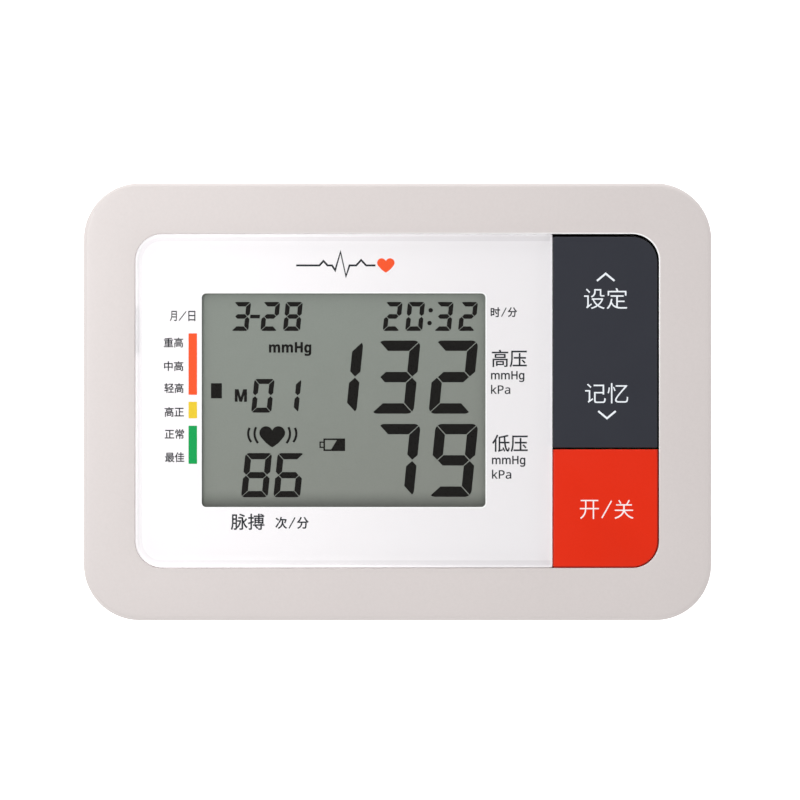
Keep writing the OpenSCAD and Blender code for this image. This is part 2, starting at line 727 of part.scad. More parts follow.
module valve_yoke() color([0.7, 0.7, 0.73]) on_valve() difference() {
    union() {
        translate([-7, -8, -6.5]) cube([14, 1, 13]);
        translate([-7, 11, -6.5]) cube([14, 1, 13]);
        translate([-7, -8, 5.8]) cube([14, 20, 0.9]);
    }
    y_rod(2.6, -10, 10.5);
    y_rod(2.6, 10, 13);
}

module valve_bobbin() color([0.9, 0.9, 0.86]) on_valve() difference() {
    union() {
        y_rod(3.2, -7, 11);
        y_rod(5.75, -7, -6);
        y_rod(5.75, 10, 11);
    }
    y_rod(2.45, -8, 12);
}

module valve_coil() color([0.72, 0.42, 0.2]) on_valve() y_tube(5.4, 3.2, -6, 10);

module valve_nozzle() color([0.88, 0.88, 0.86]) on_valve() difference() {
    union() {
        y_rod(2.4, 9.6, 12);
        y_rod(4.6, 12, 13.2);
        y_rod(barb_r, 13.2 - eps, 17);
    }
    y_rod(0.7, 9, 18);
}

module valve_plunger() color([0.66, 0.67, 0.7]) on_valve() {
    y_rod(3.6, -11.5, -10.7);
    y_rod(2.3, -10.7 - eps, 8);
    y_rod(1.6, 8 - eps, 8.7);
}

module valve_spring() color([0.75, 0.75, 0.78]) on_valve() translate([0, -10.45, 0])
    sweep(helix(3, 3, 2.2, 3, 16), 0.2, [0, 1, 0]);

// ---------------------------------------------------------------- air lines

module air_manifold() color([0.9, 0.9, 0.88]) translate([valve_x, manifold_y, pump_z]) difference() {
    union() {
        translate([-3.5, -3.5, -3.5]) cube([7, 7, 7]);
        x_rod(barb_r, -8.5, 8.5);
        y_rod(barb_r, -8.5, 0);
        cylinder(r = barb_r, h = 6);
    }
    x_rod(0.9, -9, 9);
    y_rod(0.9, -9, 0);
    cylinder(r = 0.9, h = 7);
}

module air_tubes() color([0.86, 0.88, 0.88, 0.8]) {
    x_tube(tube_r, tube_bore, -54.8, valve_x - 3.7, jack_y, jack_z);
    y_tube(tube_r, tube_bore, 13.4, manifold_y - 3.7, valve_x, pump_z);
    translate([valve_x, manifold_y, 20.7]) difference() {
        cylinder(r = tube_r, h = 5.6);
        translate([0, 0, -over]) cylinder(r = tube_bore, h = 8);
    }
    pump_hose();
}

module pump_hose() {
    turn_y = manifold_y - bend_r;
    y_tube(tube_r, tube_bore, cover_y1 + 0.2, turn_y, pump_x, pump_z);
    translate([pump_x - bend_r, turn_y, pump_z]) rotate_extrude(angle = 90)
        translate([bend_r, 0]) difference() {
            circle(tube_r);
            circle(tube_bore);
        }
    x_tube(tube_r, tube_bore, valve_x + 3.7, pump_x - bend_r, manifold_y, pump_z);
}

module air_jack() color([0.2, 0.21, 0.23]) difference() {
    union() {
        x_rod(6, -case_w / 2 + 0.2, -56, jack_y, jack_z);
        x_rod(6.9, -inner_w / 2 + 0.1, -inner_w / 2 + 1.6, jack_y, jack_z);
        x_rod(barb_r, -56 - eps, -49, jack_y, jack_z);
    }
    x_rod(socket_r, -case_w, -57.5, jack_y, jack_z);
    x_rod(0.9, -60, -48, jack_y, jack_z);
}

// ---------------------------------------------------------------- power

module dc_jack_body() color([0.12, 0.12, 0.13]) difference() {
    union() {
        translate([dc_x - 5, 35, dc_z - 5]) cube([10, inner_d / 2 - 35.1, 10]);
        y_rod(3.9, inner_d / 2 - 0.2, case_d / 2 - 0.3, dc_x, dc_z);
    }
    y_rod(dc_bore, 38, case_d, dc_x, dc_z);
    y_rod(dc_pin_r + 0.3, 34, 40, dc_x, dc_z);
}

module dc_jack_pin() color([0.8, 0.8, 0.82]) {
    y_rod(dc_pin_r, 38 - eps, 47, dc_x, dc_z);
    y_rod(dc_pin_r + 0.3, 34, 38, dc_x, dc_z);
}

// One AA cell on its own axis along Y, with its negative end at y = 0.
module aa_cell() {
    y_rod(cell_dia / 2, 0, cell_len - 1.3);
    y_rod(2.75, cell_len - 1.3 - eps, cell_len);
}

function points_back(i) = i % 2 == 0;
cell_clear = bay_d / 2 - contact_t;

module aa_cells() color([0.25, 0.3, 0.36]) for (i = [0:3]) translate([cell_x[i], 0, cell_z])
    mirror([0, points_back(i) ? 0 : 1, 0]) translate([0, cell_clear - cell_len, 0]) aa_cell();

module battery_contacts() color([0.78, 0.79, 0.8]) {
    for (c = [[cell_x[0], 10, -1], [cell_x[3], 10, -1], [(cell_x[1] + cell_x[2]) / 2, 25, -1],
            [(cell_x[0] + cell_x[1]) / 2, 25, 1], [(cell_x[2] + cell_x[3]) / 2, 25, 1]])
        translate([c[0] - c[1] / 2, c[2] > 0 ? cell_clear : -bay_d / 2, cell_z - 5])
            cube([c[1], contact_t, 10]);
    for (i = [0:3]) translate([cell_x[i], 0, cell_z]) mirror([0, points_back(i) ? 0 : 1, 0])
        translate([0, -cell_clear + 0.2, 0])
            sweep(helix(4.2, 3, 2 * cell_clear - cell_len - 0.6, 4, 14), 0.3, [0, 1, 0], 5);
}

// Pairs of leads between the motor, valve, cells and power socket and their board headers.
module hookup_wires() color([0.7, 0.15, 0.12]) for (s = [-1, 1]) {
    sweep(bend([pump_x + s * 6, -42.3, 17], [pump_x + s * 6, -45, 13 - s * 4], [-42 + s, -37, 13 - s * 3],
        [-42 + s, -31, 25.5]), 0.55, [0.1, 1, 0]);
    sweep(bend([valve_x - 5.5, 2 + s * 1.2, 14], [-50, 2 + s * 1.2, 12], [-53, -7 + s, 14],
        [-52, -7 + s, 25.5]), 0.55, [0, 1, 0]);
    sweep(bend([latch_x + s * 22, -31.4, 10], [latch_x + s * 22, -38, 10], [30 + s, -33, 14],
        [30 + s, -32.5, 25.5]), 0.55, [0.1, 1, 0]);
    sweep(bend([dc_x + s * 2, 34.2, 10.5], [dc_x + s * 2, 31.8, 11], [8, 32.5 + s, 14],
        [4, 32.5 + s, 25.5]), 0.55, [0, 1, 0.3]);
}

front_case();
rear_case();
display_lens();
lens_print();
lens_tape();
rubber_feet();
case_screws();
battery_door();
mode_rocker();
power_key();
air_jack();
dc_jack_body();
dc_jack_pin();
main_board();
board_screws();
lcd_front_glass();
lcd_rear_glass();
lcd_polariser();
lcd_reflector();
lcd_frame();
zebra_strips();
set_dome();
memory_dome();
power_dome();
processor_chip();
small_chips();
crystal_can();
capacitors();
buzzer();
pressure_sensor();
wire_headers();
motor_can();
motor_end_cap();
motor_magnets();
motor_bushes();
motor_brushes();
motor_shaft();
armature();
commutator();
eccentric_hub();
wobble_plate();
drive_pin();
pump_housing();
pump_diaphragm();
pump_valve_plate();
pump_cover();
pump_screws();
pump_saddles();
valve_yoke();
valve_bobbin();
valve_coil();
valve_nozzle();
valve_plunger();
valve_spring();
air_manifold();
air_tubes();
aa_cells();
battery_contacts();
hookup_wires();
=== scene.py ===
"""A desk blood pressure monitor with its display, keys, sockets and battery bay.

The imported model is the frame. This script dresses it: it rebuilds the grey front case with a crowned rim, lays
the printed panel and the display's figures, eases the edges of the pieces that show, and gives each piece a
finish. Sizes in the classes are millimetres, and meshes are made in metres.
"""

from __future__ import annotations

import logging
import math
from collections.abc import Iterable, Mapping, Sequence
from dataclasses import dataclass, field
from enum import Enum
from typing import Any

import bmesh
import bpy
from mathutils import Matrix, Vector

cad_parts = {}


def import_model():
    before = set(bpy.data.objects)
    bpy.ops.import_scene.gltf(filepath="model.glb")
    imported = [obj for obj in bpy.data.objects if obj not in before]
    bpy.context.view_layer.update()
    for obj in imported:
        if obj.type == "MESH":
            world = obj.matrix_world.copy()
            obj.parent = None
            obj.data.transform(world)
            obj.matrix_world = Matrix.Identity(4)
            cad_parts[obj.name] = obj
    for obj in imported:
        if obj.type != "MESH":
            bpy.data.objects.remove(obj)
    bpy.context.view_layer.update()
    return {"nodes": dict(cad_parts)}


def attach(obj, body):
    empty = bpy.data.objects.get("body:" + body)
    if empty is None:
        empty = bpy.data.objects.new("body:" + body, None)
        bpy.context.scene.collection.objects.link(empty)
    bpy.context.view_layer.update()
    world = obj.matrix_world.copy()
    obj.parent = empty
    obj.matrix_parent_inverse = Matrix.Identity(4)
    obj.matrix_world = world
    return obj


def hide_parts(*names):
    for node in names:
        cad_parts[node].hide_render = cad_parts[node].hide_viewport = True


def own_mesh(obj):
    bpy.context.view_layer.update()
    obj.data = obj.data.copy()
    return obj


MM = 0.001
log = logging.getLogger("monitor")

Point = tuple[float, float]
Outline = list[Point]
Triple = tuple[float, float, float]
Colour = Triple
Span = tuple[float, float]
Sides = tuple[float, float, float, float]
Values = dict[str, Any]


class Body(Enum):
    """The rigid bodies that pieces ride on."""

    CASE = "case"
    ROCKER = "mode_rocker"
    POWER = "power_key"
    DOOR = "battery_door"
    ROTOR = "pump_rotor"
    WOBBLER = "pump_wobbler"
    PLUNGER = "valve_plunger"


class Face(Enum):
    """The plain alphabets for lettering: where their capitals and small letters start."""

    SANS = (0x1D5A0, 0x1D5BA)
    BOLD = (0x1D5D4, 0x1D5EE)


# --- shader graphs


class Signal:
    """One value that a node tree works out at each point, with arithmetic on it."""

    def __init__(self, graph: Graph, socket: bpy.types.NodeSocket) -> None:
        """Wraps an output socket of a graph."""
        self.graph = graph
        self.socket = socket

    def _maths(self, operation: str, *values: Signal | float) -> Signal:
        """Adds a Math node on the values and returns its result."""
        return self.graph.node("ShaderNodeMath", {"operation": operation}, dict(enumerate(values)))

    def __add__(self, other: Signal | float) -> Signal:
        """self + other, and other + self."""
        return self._maths("ADD", self, other)

    def __sub__(self, other: Signal | float) -> Signal:
        """self - other."""
        return self._maths("SUBTRACT", self, other)

    def __rsub__(self, other: float) -> Signal:
        """other - self."""
        return self._maths("SUBTRACT", other, self)

    def __mul__(self, other: Signal | float) -> Signal:
        """self * other, and other * self."""
        return self._maths("MULTIPLY", self, other)

    def __truediv__(self, other: Signal | float) -> Signal:
        """self / other."""
        return self._maths("DIVIDE", self, other)

    def __pow__(self, other: Signal | float) -> Signal:
        """self ** other."""
        return self._maths("POWER", self, other)

    __radd__ = __add__
    __rmul__ = __mul__

    def most(self, other: Signal | float) -> Signal:
        """The greater of two values."""
        return self._maths("MAXIMUM", self, other)

    def size(self) -> Signal:
        """The value without its sign."""
        return self._maths("ABSOLUTE", self)

    def wave(self) -> Signal:
        """The sine of the value."""
        return self._maths("SINE", self)

    def ramp(self, low: float, high: float) -> Signal:
        """0 below low, 1 above high and smooth between."""
        kind = {"interpolation_type": "SMOOTHSTEP"}
        return self.graph.node("ShaderNodeMapRange", kind, {0: self, 1: low, 2: high, 3: 0.0, 4: 1.0})


class Graph:
    """A node tree under construction."""

    def __init__(self, tree: bpy.types.NodeTree) -> None:
        """Empties a tree and holds it."""
        self.tree = tree
        tree.nodes.clear()

    def node(
        self,
        kind: str,
        settings: Mapping[str, Any] | None = None,
        sockets: Mapping[int | str, Any] | None = None,
        outlet: int | str = 0,
    ) -> Signal:
        """Adds a node.

        Args:
            kind: the node's type.
            settings: the node's own properties, which are set first.
            sockets: a value or a Signal for each input, by name or number.
            outlet: the output to return.

        Returns:
            The chosen output.
        """
        made = self.tree.nodes.new(kind)
        for key, value in (settings or {}).items():
            setattr(made, key, value)
        for key, value in (sockets or {}).items():
            if isinstance(value, Signal):
                self.tree.links.new(value.socket, made.inputs[key])
            else:
                made.inputs[key].default_value = value
        return Signal(self, made.outputs[outlet])

    def place(self) -> Signal:
        """Object coordinates, which are the model's own metres."""
        return self.node("ShaderNodeTexCoord", outlet="Object")

    def along(self, place: Signal, axis: int) -> Signal:
        """One coordinate of a place: 0 for X, 1 for Y, 2 for Z."""
        return self.node("ShaderNodeSeparateXYZ", None, {0: place}, axis)

    def noise(self, place: Signal, scale: float, detail: float = 2.0, rough: float = 0.5) -> Signal:
        """Cloudy noise about 0, from -0.5 to 0.5."""
        sockets = {"Vector": place, "Scale": scale, "Detail": detail, "Roughness": rough}
        return self.node("ShaderNodeTexNoise", None, sockets) - 0.5

    def stretched(self, place: Signal, scale: Triple) -> Signal:
        """A place with each axis scaled, for grain that runs one way."""
        return self.node("ShaderNodeMapping", None, {"Vector": place, "Scale": scale})

    def shaded(self, colour: Colour | Signal, level: Signal) -> Signal:
        """A colour times a level."""
        return self.node("ShaderNodeVectorMath", {"operation": "SCALE"}, {0: colour, "Scale": level})

    def mixed(self, share: Signal, one: Colour | Signal, other: Colour | Signal) -> Signal:
        """one where share is 0 and other where it is 1."""
        ends = [c if isinstance(c, Signal) else (*c, 1.0) for c in (one, other)]
        return self.node("ShaderNodeMix", {"data_type": "RGBA"}, {0: share, 6: ends[0], 7: ends[1]}, 2)

    def bump(self, height: Signal, depth: float, strength: float) -> Signal:
        """A normal from a relief that is depth millimetres deep, at a strength from 0 to 1."""
        sockets = {"Strength": strength, "Distance": depth * MM, "Height": height}
        return self.node("ShaderNodeBump", None, sockets)

    def surface(self, values: Values) -> Signal:
        """A Principled shader with the given sockets."""
        filled = {k: (*v, 1.0) if isinstance(v, tuple) else v for k, v in values.items()}
        return self.node("ShaderNodeBsdfPrincipled", None, filled)

    def show(self, shader: Signal, kind: str = "ShaderNodeOutputMaterial") -> None:
        """Makes a shader the tree's result."""
        self.tree.links.new(shader.socket, self.tree.nodes.new(kind).inputs["Surface"])


# --- finishes


@dataclass(frozen=True)
class Finish:
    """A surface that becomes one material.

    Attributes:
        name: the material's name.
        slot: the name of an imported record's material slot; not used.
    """

    name: str
    slot: str

    def material(self) -> bpy.types.Material:
        """Gives the material, which is built the first time that it is asked for.

        Returns:
            The material.
        """
        found = bpy.data.materials.get(self.name)
        if found is None:
            found = bpy.data.materials.new(self.name)
            found.use_nodes = True
            g = Graph(found.node_tree)
            g.show(self.shader(g, g.place()))
        return found

    def shader(self, g: Graph, place: Signal) -> Signal:
        """The surface's shader."""
        return g.surface(self.values(g, place))

    def values(self, g: Graph, place: Signal) -> Values:
        """The values of the shader's sockets, which each kind of finish gives."""
        raise NotImplementedError


@dataclass(frozen=True)
class Moulded(Finish):
    """Injection-moulded plastic with an eroded texture, soft clouding and a painted highlight along the rim
    attribute, paler and smoother.

    Attributes:
        colour: the plastic's colour.
        rough: its roughness away from the worn edge.
        grain: grains of texture in a metre.
        depth: how deep the texture is, in millimetres.
        cloud: how far the colour drifts over the piece.
        edge: the colour of the painted highlight along the rim attribute, or None where the piece has none.
        gloss: how strongly the plastic shines.
    """

    colour: Colour
    rough: float
    grain: float = 2600.0
    depth: float = 0.012
    cloud: float = 0.05
    edge: Colour | None = None
    gloss: float = 0.5

    def values(self, g: Graph, place: Signal) -> Values:
        """Works out the shader's sockets.

        Args:
            g: the material's graph.
            place: object coordinates in the graph.

        Returns:
            Their values, by name.
        """
        drift = g.noise(place, 28.0, 3.0) * self.cloud
        speck = g.noise(place, self.grain * 0.7, 1.0)
        tone = g.shaded(self.colour, drift + speck * 0.05 + 1.0)
        rough = g.noise(place, 160.0, 3.0) * 0.08 + speck * 0.04 + self.rough
        if self.edge is not None:
            # Painted highlight: the rim attribute mixes the colour towards the pale edge colour and smooths it.
            rim = g.node("ShaderNodeAttribute", {"attribute_name": "rim"}, outlet="Fac")
            tone = g.mixed(rim, tone, self.edge)
            rough = rough - rim * 0.12
        relief = g.noise(place, self.grain, 2.0, 0.6) + g.noise(place, self.grain * 0.21, 2.0) * 0.6
        return {
            "Base Color": tone,
            "Roughness": rough,
            "IOR": 1.49,
            "Specular IOR Level": self.gloss,
            "Coat Roughness": 0.12,
            "Normal": g.bump(relief, self.depth, 0.35),
        }


@dataclass(frozen=True)
class ClearPanel(Finish):
    """Clear acrylic: it shows what is behind it and shines at its edges.

    Attributes:
        tint: the colour of what it reflects.
        edge: how bright its polished edge is.
    """

    tint: Colour = (0.97, 0.98, 1.0)
    edge: float = 0.5

    def shader(self, g: Graph, place: Signal) -> Signal:
        """Mixes the clear part with the part that shines.

        Args:
            g: the material's graph.
            place: object coordinates in the graph.

        Returns:
            The shader.
        """
        clear = g.node("ShaderNodeBsdfTransparent", None, {"Color": (1.0, 1.0, 1.0, 1.0)})
        facing = g.node("ShaderNodeLayerWeight", None, {"Blend": 0.5}, "Facing")
        upright = 1.0 - g.along(g.node("ShaderNodeNewGeometry", outlet="Normal"), 2).size()
        share = facing**5.0 * 0.9 + upright.ramp(0.05, 0.9) * self.edge + 0.015
        return g.node("ShaderNodeMixShader", None, {0: share, 1: clear, 2: super().shader(g, place)})

    def values(self, g: Graph, place: Signal) -> Values:
        """Works out the sockets of the part that shines.

        Args:
            g: the material's graph.
            place: object coordinates in the graph.

        Returns:
            Their values, by name.
        """
        smear = g.noise(g.stretched(place, (30.0, 90.0, 30.0)), 1.0, 3.0)
        return {
            "Base Color": self.tint,
            "Metallic": 1.0,
            "Roughness": smear * 0.03 + 0.035,
            "Normal": g.bump(g.noise(place, 45.0, 1.0), 0.02, 0.25),
        }


@dataclass(frozen=True)
class Ink(Finish):
    """Screen-printed ink, a little uneven and slightly raised.

    Attributes:
        colour: the ink's colour.
        rough: its roughness.
        uneven: how far its density varies.
        gloss: how strongly it shines.
    """

    colour: Colour
    rough: float
    uneven: float
    gloss: float = 0.1

    def values(self, g: Graph, place: Signal) -> Values:
        """Works out the shader's sockets.

        Args:
            g: the material's graph.
            place: object coordinates in the graph.

        Returns:
            Their values, by name.
        """
        speck = g.noise(place, 2100.0, 2.0)
        wash = g.noise(place, 60.0, 2.0)
        return {
            "Base Color": g.shaded(self.colour, (speck + wash) * self.uneven + 1.0),
            "Roughness": speck * 0.1 + self.rough,
            "Specular IOR Level": self.gloss,
            "Normal": g.bump(speck, 0.004, 0.3),
        }


@dataclass(frozen=True)
class EdgeLit(Finish):
    """White print or foam behind the clear plate, with painted light: an emission glow near the plate's edge
    stands in for light that the plate gathers, and the colour is painted lighter towards the left.

    Attributes:
        colour: its colour.
        glow: how much painted light the emission glow adds at the edge.
        centre: the middle of the plate, in millimetres.
        half: half the plate's width and depth.
        corner: the radius of the plate's left corners.
        reach: how far in the painted glow fades away.
    """

    colour: Colour
    glow: float
    centre: Point = (-11.9, 0.2)
    half: Point = (46.5, 37.1)
    corner: float = 5.9
    reach: float = 3.2

    def values(self, g: Graph, place: Signal) -> Values:
        """Works out the shader's sockets.

        Args:
            g: the material's graph.
            place: object coordinates in the graph.

        Returns:
            Their values, by name.
        """
        x, y = (g.along(place, axis) * 1000.0 - self.centre[axis] for axis in (0, 1))
        across = (x * -1.0 - (self.half[0] - self.corner)).most(0.0)
        down = (y.size() - (self.half[1] - self.corner)).most(0.0)
        rounded_depth = self.corner - (across * across + down * down) ** 0.5
        depth = (rounded_depth * -1.0).most(x - self.half[0]) * -1.0
        # Painted light: the glow near the edge and the lighter colour towards the left stand in for light.
        left = (g.along(place, 0) * -1000.0).ramp(-34.0, 56.0)
        rim = (1.0 - depth.ramp(0.0, self.reach)) + (1.0 - depth.ramp(0.1, 0.7)) * 1.5
        lit = rim * (left * 0.6 + 0.4) * self.glow
        speck = g.noise(place, 2100.0, 2.0)
        return {
            "Base Color": g.shaded(self.colour, speck * 0.012 + left * 0.13 + 0.95),
            "Roughness": speck * 0.1 + 0.5,
            "Specular IOR Level": 0.1,
            "Emission Color": g.shaded((1.0, 0.98, 0.99), lit),
            "Emission Strength": 1.0,
            "Normal": g.bump(speck, 0.004, 0.3),
        }


@dataclass(frozen=True)
class DisplayFilm(Finish):
    """The display's grey-green film, with painted shade that darkens it a little to its lower edge, a colour
    drift that is partly painted shade, and a fine anti-glare grain.

    Attributes:
        upper: its colour at the top left.
        lower: its colour at the bottom right, darker partly as painted shade.
        shade: how dark the painted shade at its lower edge gets.
        span: the height over which one colour becomes the other, in millimetres.
        foot: where the painted shade at the lower edge starts, and where it is darkest.
    """

    upper: Colour
    lower: Colour
    shade: float
    span: float = 56.0
    foot: Span = (-19.4, -24.2)

    def values(self, g: Graph, place: Signal) -> Values:
        """Works out the shader's sockets.

        Args:
            g: the material's graph.
            place: object coordinates in the graph.

        Returns:
            Their values, by name.
        """
        # The drift from the upper to the lower colour is partly painted shade.
        fall = (g.along(place, 1) * -1000.0 + g.along(place, 0) * 320.0) / self.span + 0.5
        grain = g.noise(place, 3400.0, 1.0)
        # Painted shade along the film's lower edge, where the window's edge shades it.
        shade = (g.along(place, 1) * -1000.0).ramp(-self.foot[0], -self.foot[1]) * self.shade
        tone = g.mixed(fall.ramp(-0.1, 1.15), self.upper, self.lower)
        level = (grain * 0.09 + g.noise(place, 120.0, 2.0) * 0.03 + 1.0) * (1.0 - shade)
        return {
            "Base Color": g.shaded(tone, level),
            "Roughness": grain * 0.1 + 0.55,
            "Specular IOR Level": 0.2,
            "Normal": g.bump(grain, 0.006, 0.4),
        }


@dataclass(frozen=True)
class Metal(Finish):
    """Bare or plated metal with the marks of its making.

    Attributes:
        colour: the metal's colour.
        rough: its roughness.
        grain: the scale of its marks on each axis, in marks a metre.
        tarnish: the colour that it dulls to.
    """

    colour: Colour
    rough: float
    grain: Triple = (900.0, 900.0, 90.0)
    tarnish: Colour = (0.3, 0.29, 0.27)

    def values(self, g: Graph, place: Signal) -> Values:
        """Works out the shader's sockets.

        Args:
            g: the material's graph.
            place: object coordinates in the graph.

        Returns:
            Their values, by name.
        """
        lines = g.noise(g.stretched(place, self.grain), 1.0, 3.0)
        dull = g.noise(place, 140.0, 4.0, 0.6).ramp(0.02, 0.4)
        return {
            "Base Color": g.mixed(dull * 0.6, g.shaded(self.colour, lines * 0.16 + 1.0), self.tarnish),
            "Metallic": 1.0,
            "Roughness": lines * 0.14 + dull * 0.2 + self.rough,
            "Normal": g.bump(lines, 0.01, 0.3),
        }


@dataclass(frozen=True)
class Rubber(Finish):
    """Moulded rubber or silicone with a dusty bloom.

    Attributes:
        colour: the rubber's colour.
        rough: its roughness.
        bloom: the colour of the dust in its pores.
    """

    colour: Colour = (0.05, 0.05, 0.055)
    rough: float = 0.72
    bloom: Colour = (0.2, 0.2, 0.2)

    def values(self, g: Graph, place: Signal) -> Values:
        """Works out the shader's sockets.

        Args:
            g: the material's graph.
            place: object coordinates in the graph.

        Returns:
            Their values, by name.
        """
        dust = g.noise(place, 420.0, 4.0, 0.65).ramp(0.05, 0.45)
        pores = g.noise(place, 3200.0, 2.0)
        return {
            "Base Color": g.mixed(dust * 0.5, g.shaded(self.colour, pores * 0.2 + 1.0), self.bloom),
            "Roughness": pores * 0.12 + self.rough,
            "Normal": g.bump(pores + dust * 0.4, 0.02, 0.5),
        }


@dataclass(frozen=True)
class BoardMask(Finish):
    """Solder mask over copper, with tracks that show as paler lines on a square grid."""

    colour: Colour = (0.012, 0.13, 0.05)
    track: Colour = (0.03, 0.24, 0.1)

    def values(self, g: Graph, place: Signal) -> Values:
        """Works out the shader's sockets.

        Args:
            g: the material's graph.
            place: object coordinates in the graph.

        Returns:
            Their values, by name.
        """
        lanes = (g.along(place, 0) * 1650.0 + g.noise(place, 60.0, 0.0) * 5.0).wave()
        rows = (g.along(place, 1) * 1650.0 + g.noise(place, 75.0, 0.0) * 5.0).wave()
        patch = g.noise(place, 55.0, 1.0).ramp(-0.05, 0.05)
        copper = lanes.ramp(0.55, 0.7) * patch + rows.ramp(0.55, 0.7) * (1.0 - patch)
        return {
            "Base Color": g.mixed(copper, self.colour, self.track),
            "Roughness": 0.32 - copper * 0.06,
            "Normal": g.bump(copper, 0.03, 0.5),
        }


@dataclass(frozen=True)
class CellSleeve(Finish):
    """The printed sleeve of a dry cell: a dark body with a pale band near one end and metal-grey ends."""

    colour: Colour = (0.03, 0.07, 0.13)
    band: Colour = (0.55, 0.57, 0.58)

    def values(self, g: Graph, place: Signal) -> Values:
        """Works out the shader's sockets.

        Args:
            g: the material's graph.
            place: object coordinates in the graph.

        Returns:
            Their values, by name.
        """
        run = (g.along(place, 1) * 1000.0).size()
        tone = g.mixed(run.ramp(15.4, 15.6) * (1.0 - run.ramp(23.0, 23.2)), self.colour, self.band)
        return {
            "Base Color": g.shaded(tone, g.noise(place, 300.0, 3.0) * 0.08 + 1.0),
            "Roughness": g.noise(place, 500.0, 2.0) * 0.1 + 0.28,
            "Coat Weight": 0.4,
            "Normal": g.bump(g.noise(place, 90.0, 2.0), 0.05, 0.3),
        }


@dataclass(frozen=True)
class Clouded(Finish):
    """Hose or glass that is milky: part of the light goes through it.

    Attributes:
        colour: its colour.
        dense: the share that it hides.
        rough: its roughness.
    """

    colour: Colour = (0.7, 0.73, 0.74)
    dense: float = 0.75
    rough: float = 0.3

    def values(self, g: Graph, place: Signal) -> Values:
        """Works out the shader's sockets.

        Args:
            g: the material's graph.
            place: object coordinates in the graph.

        Returns:
            Their values, by name.
        """
        haze = g.noise(place, 260.0, 3.0)
        return {
            "Base Color": g.shaded(self.colour, haze * 0.1 + 1.0),
            "Alpha": haze * 0.1 + self.dense,
            "Roughness": haze * 0.08 + self.rough,
            "Normal": g.bump(haze, 0.02, 0.2),
        }


# The grey shell's edge colour is a painted highlight along the opening's rim beside the keys.
GREY_SHELL = Moulded("grey_shell_plastic", "grey_shell", (0.64, 0.59, 0.578), 0.38, edge=(0.97, 0.965, 0.97))
WHITE_SHELL = Moulded("white_shell_plastic", "white_shell", (0.64, 0.64, 0.628), 0.45)
DARK_KEY = Moulded("dark_key_plastic", "dark_key", (0.028, 0.030, 0.040), 0.36, 2600.0, 0.008, 0.1, None, 0.28)
RED_KEY = Moulded("red_key_plastic", "red_key", (0.745, 0.021, 0.0006), 0.36, 2600.0, 0.008, 0.05, None, 0.28)
BLACK_PLASTIC = Moulded("black_plastic", "dark_plastic", (0.028, 0.03, 0.034), 0.4)
NATURAL = Moulded("natural_plastic", "natural_plastic", (0.76, 0.76, 0.72), 0.48)
EPOXY = Moulded("chip_epoxy", "chip_epoxy", (0.022, 0.022, 0.024), 0.55, grain=4200.0)
CARBON = Moulded("brush_carbon", "carbon", (0.05, 0.045, 0.04), 0.6, grain=4800.0)
FERRITE = Moulded("magnet_ferrite", "ferrite", (0.05, 0.05, 0.052), 0.65, grain=3600.0)
# FOAM and PRINT carry painted light: an emission glow at the plate's edge and a lighter left side.
FOAM = EdgeLit("tape_foam", "foam_tape", (0.785, 0.762, 0.777), 0.2)
LENS = ClearPanel("panel_acrylic", "clear_lens")
PRINT = EdgeLit("panel_print_white", "white_print", (0.9, 0.878, 0.892), 0.11)
# Painted highlight: a pure white ring round the display window stands in for light on the print's window edge.
WINDOW_HIGHLIGHT = Ink("window_highlight_white", "white_print", (0.99, 0.99, 0.99), 0.4, 0.01)
GREY_INK = Ink("panel_ink_grey", "white_print", (0.022, 0.024, 0.03), 0.5, 0.1)
HIGH_INK = Ink("level_ink_high", "white_print", (0.93, 0.1, 0.024), 0.5, 0.04)
MIDDLE_INK = Ink("level_ink_middle", "white_print", (0.85, 0.61, 0.034), 0.5, 0.04)
LOW_INK = Ink("level_ink_low", "white_print", (0.003, 0.37, 0.088), 0.5, 0.04)
PALE_INK = Ink("key_ink_pale", "dark_key", (0.84, 0.88, 0.92), 0.45, 0.05)
WARM_INK = Ink("key_ink_warm", "red_key", (0.93, 0.85, 0.85), 0.45, 0.05)
FIGURE = Ink("display_figure_black", "lcd_film", (0.006, 0.0052, 0.0042), 0.6, 0.05, 0.05)
FILM = DisplayFilm("display_film_grey", "lcd_film", (0.247, 0.272, 0.243), (0.238, 0.251, 0.224), 0.5)
REFLECTOR = DisplayFilm("reflector_film_grey", "reflector_film", (0.45, 0.48, 0.43), (0.4, 0.42, 0.38), 0.0)
PLATED = Metal("zinc_plated_steel", "screw_steel", (0.5, 0.51, 0.53), 0.34)
MOTOR_STEEL = Metal("drawn_motor_steel", "motor_steel", (0.56, 0.57, 0.59), 0.32, (120.0, 2400.0, 120.0))
GROUND = Metal("ground_steel", "ground_steel", (0.68, 0.68, 0.7), 0.18, (90.0, 3000.0, 90.0))
TIN = Metal("tinned_spring_steel", "plated_tin", (0.62, 0.62, 0.63), 0.3)
PIN = Metal("plated_socket_pin", "plated_pin", (0.72, 0.72, 0.73), 0.2, (3000.0, 90.0, 3000.0))
COPPER = Metal("enamelled_copper", "copper", (0.62, 0.27, 0.12), 0.34, (60.0, 5200.0, 60.0), (0.25, 0.1, 0.05))
BRONZE = Metal("sintered_bronze", "bronze", (0.5, 0.33, 0.15), 0.45, (2600.0, 2600.0, 2600.0))
STACK = Metal("varnished_lamination", "lamination", (0.2, 0.13, 0.09), 0.5, (60.0, 2600.0, 60.0))
FOOT_RUBBER = Rubber("foot_rubber", "feet_rubber")
SEAL_RUBBER = Rubber("pump_rubber", "black_rubber", (0.03, 0.03, 0.032), 0.6)
STRIP_RUBBER = Rubber("contact_strip_rubber", "zebra_rubber", (0.07, 0.07, 0.08), 0.55)
SILICONE = Rubber("key_silicone", "silicone", (0.58, 0.59, 0.6), 0.5, (0.7, 0.7, 0.7))
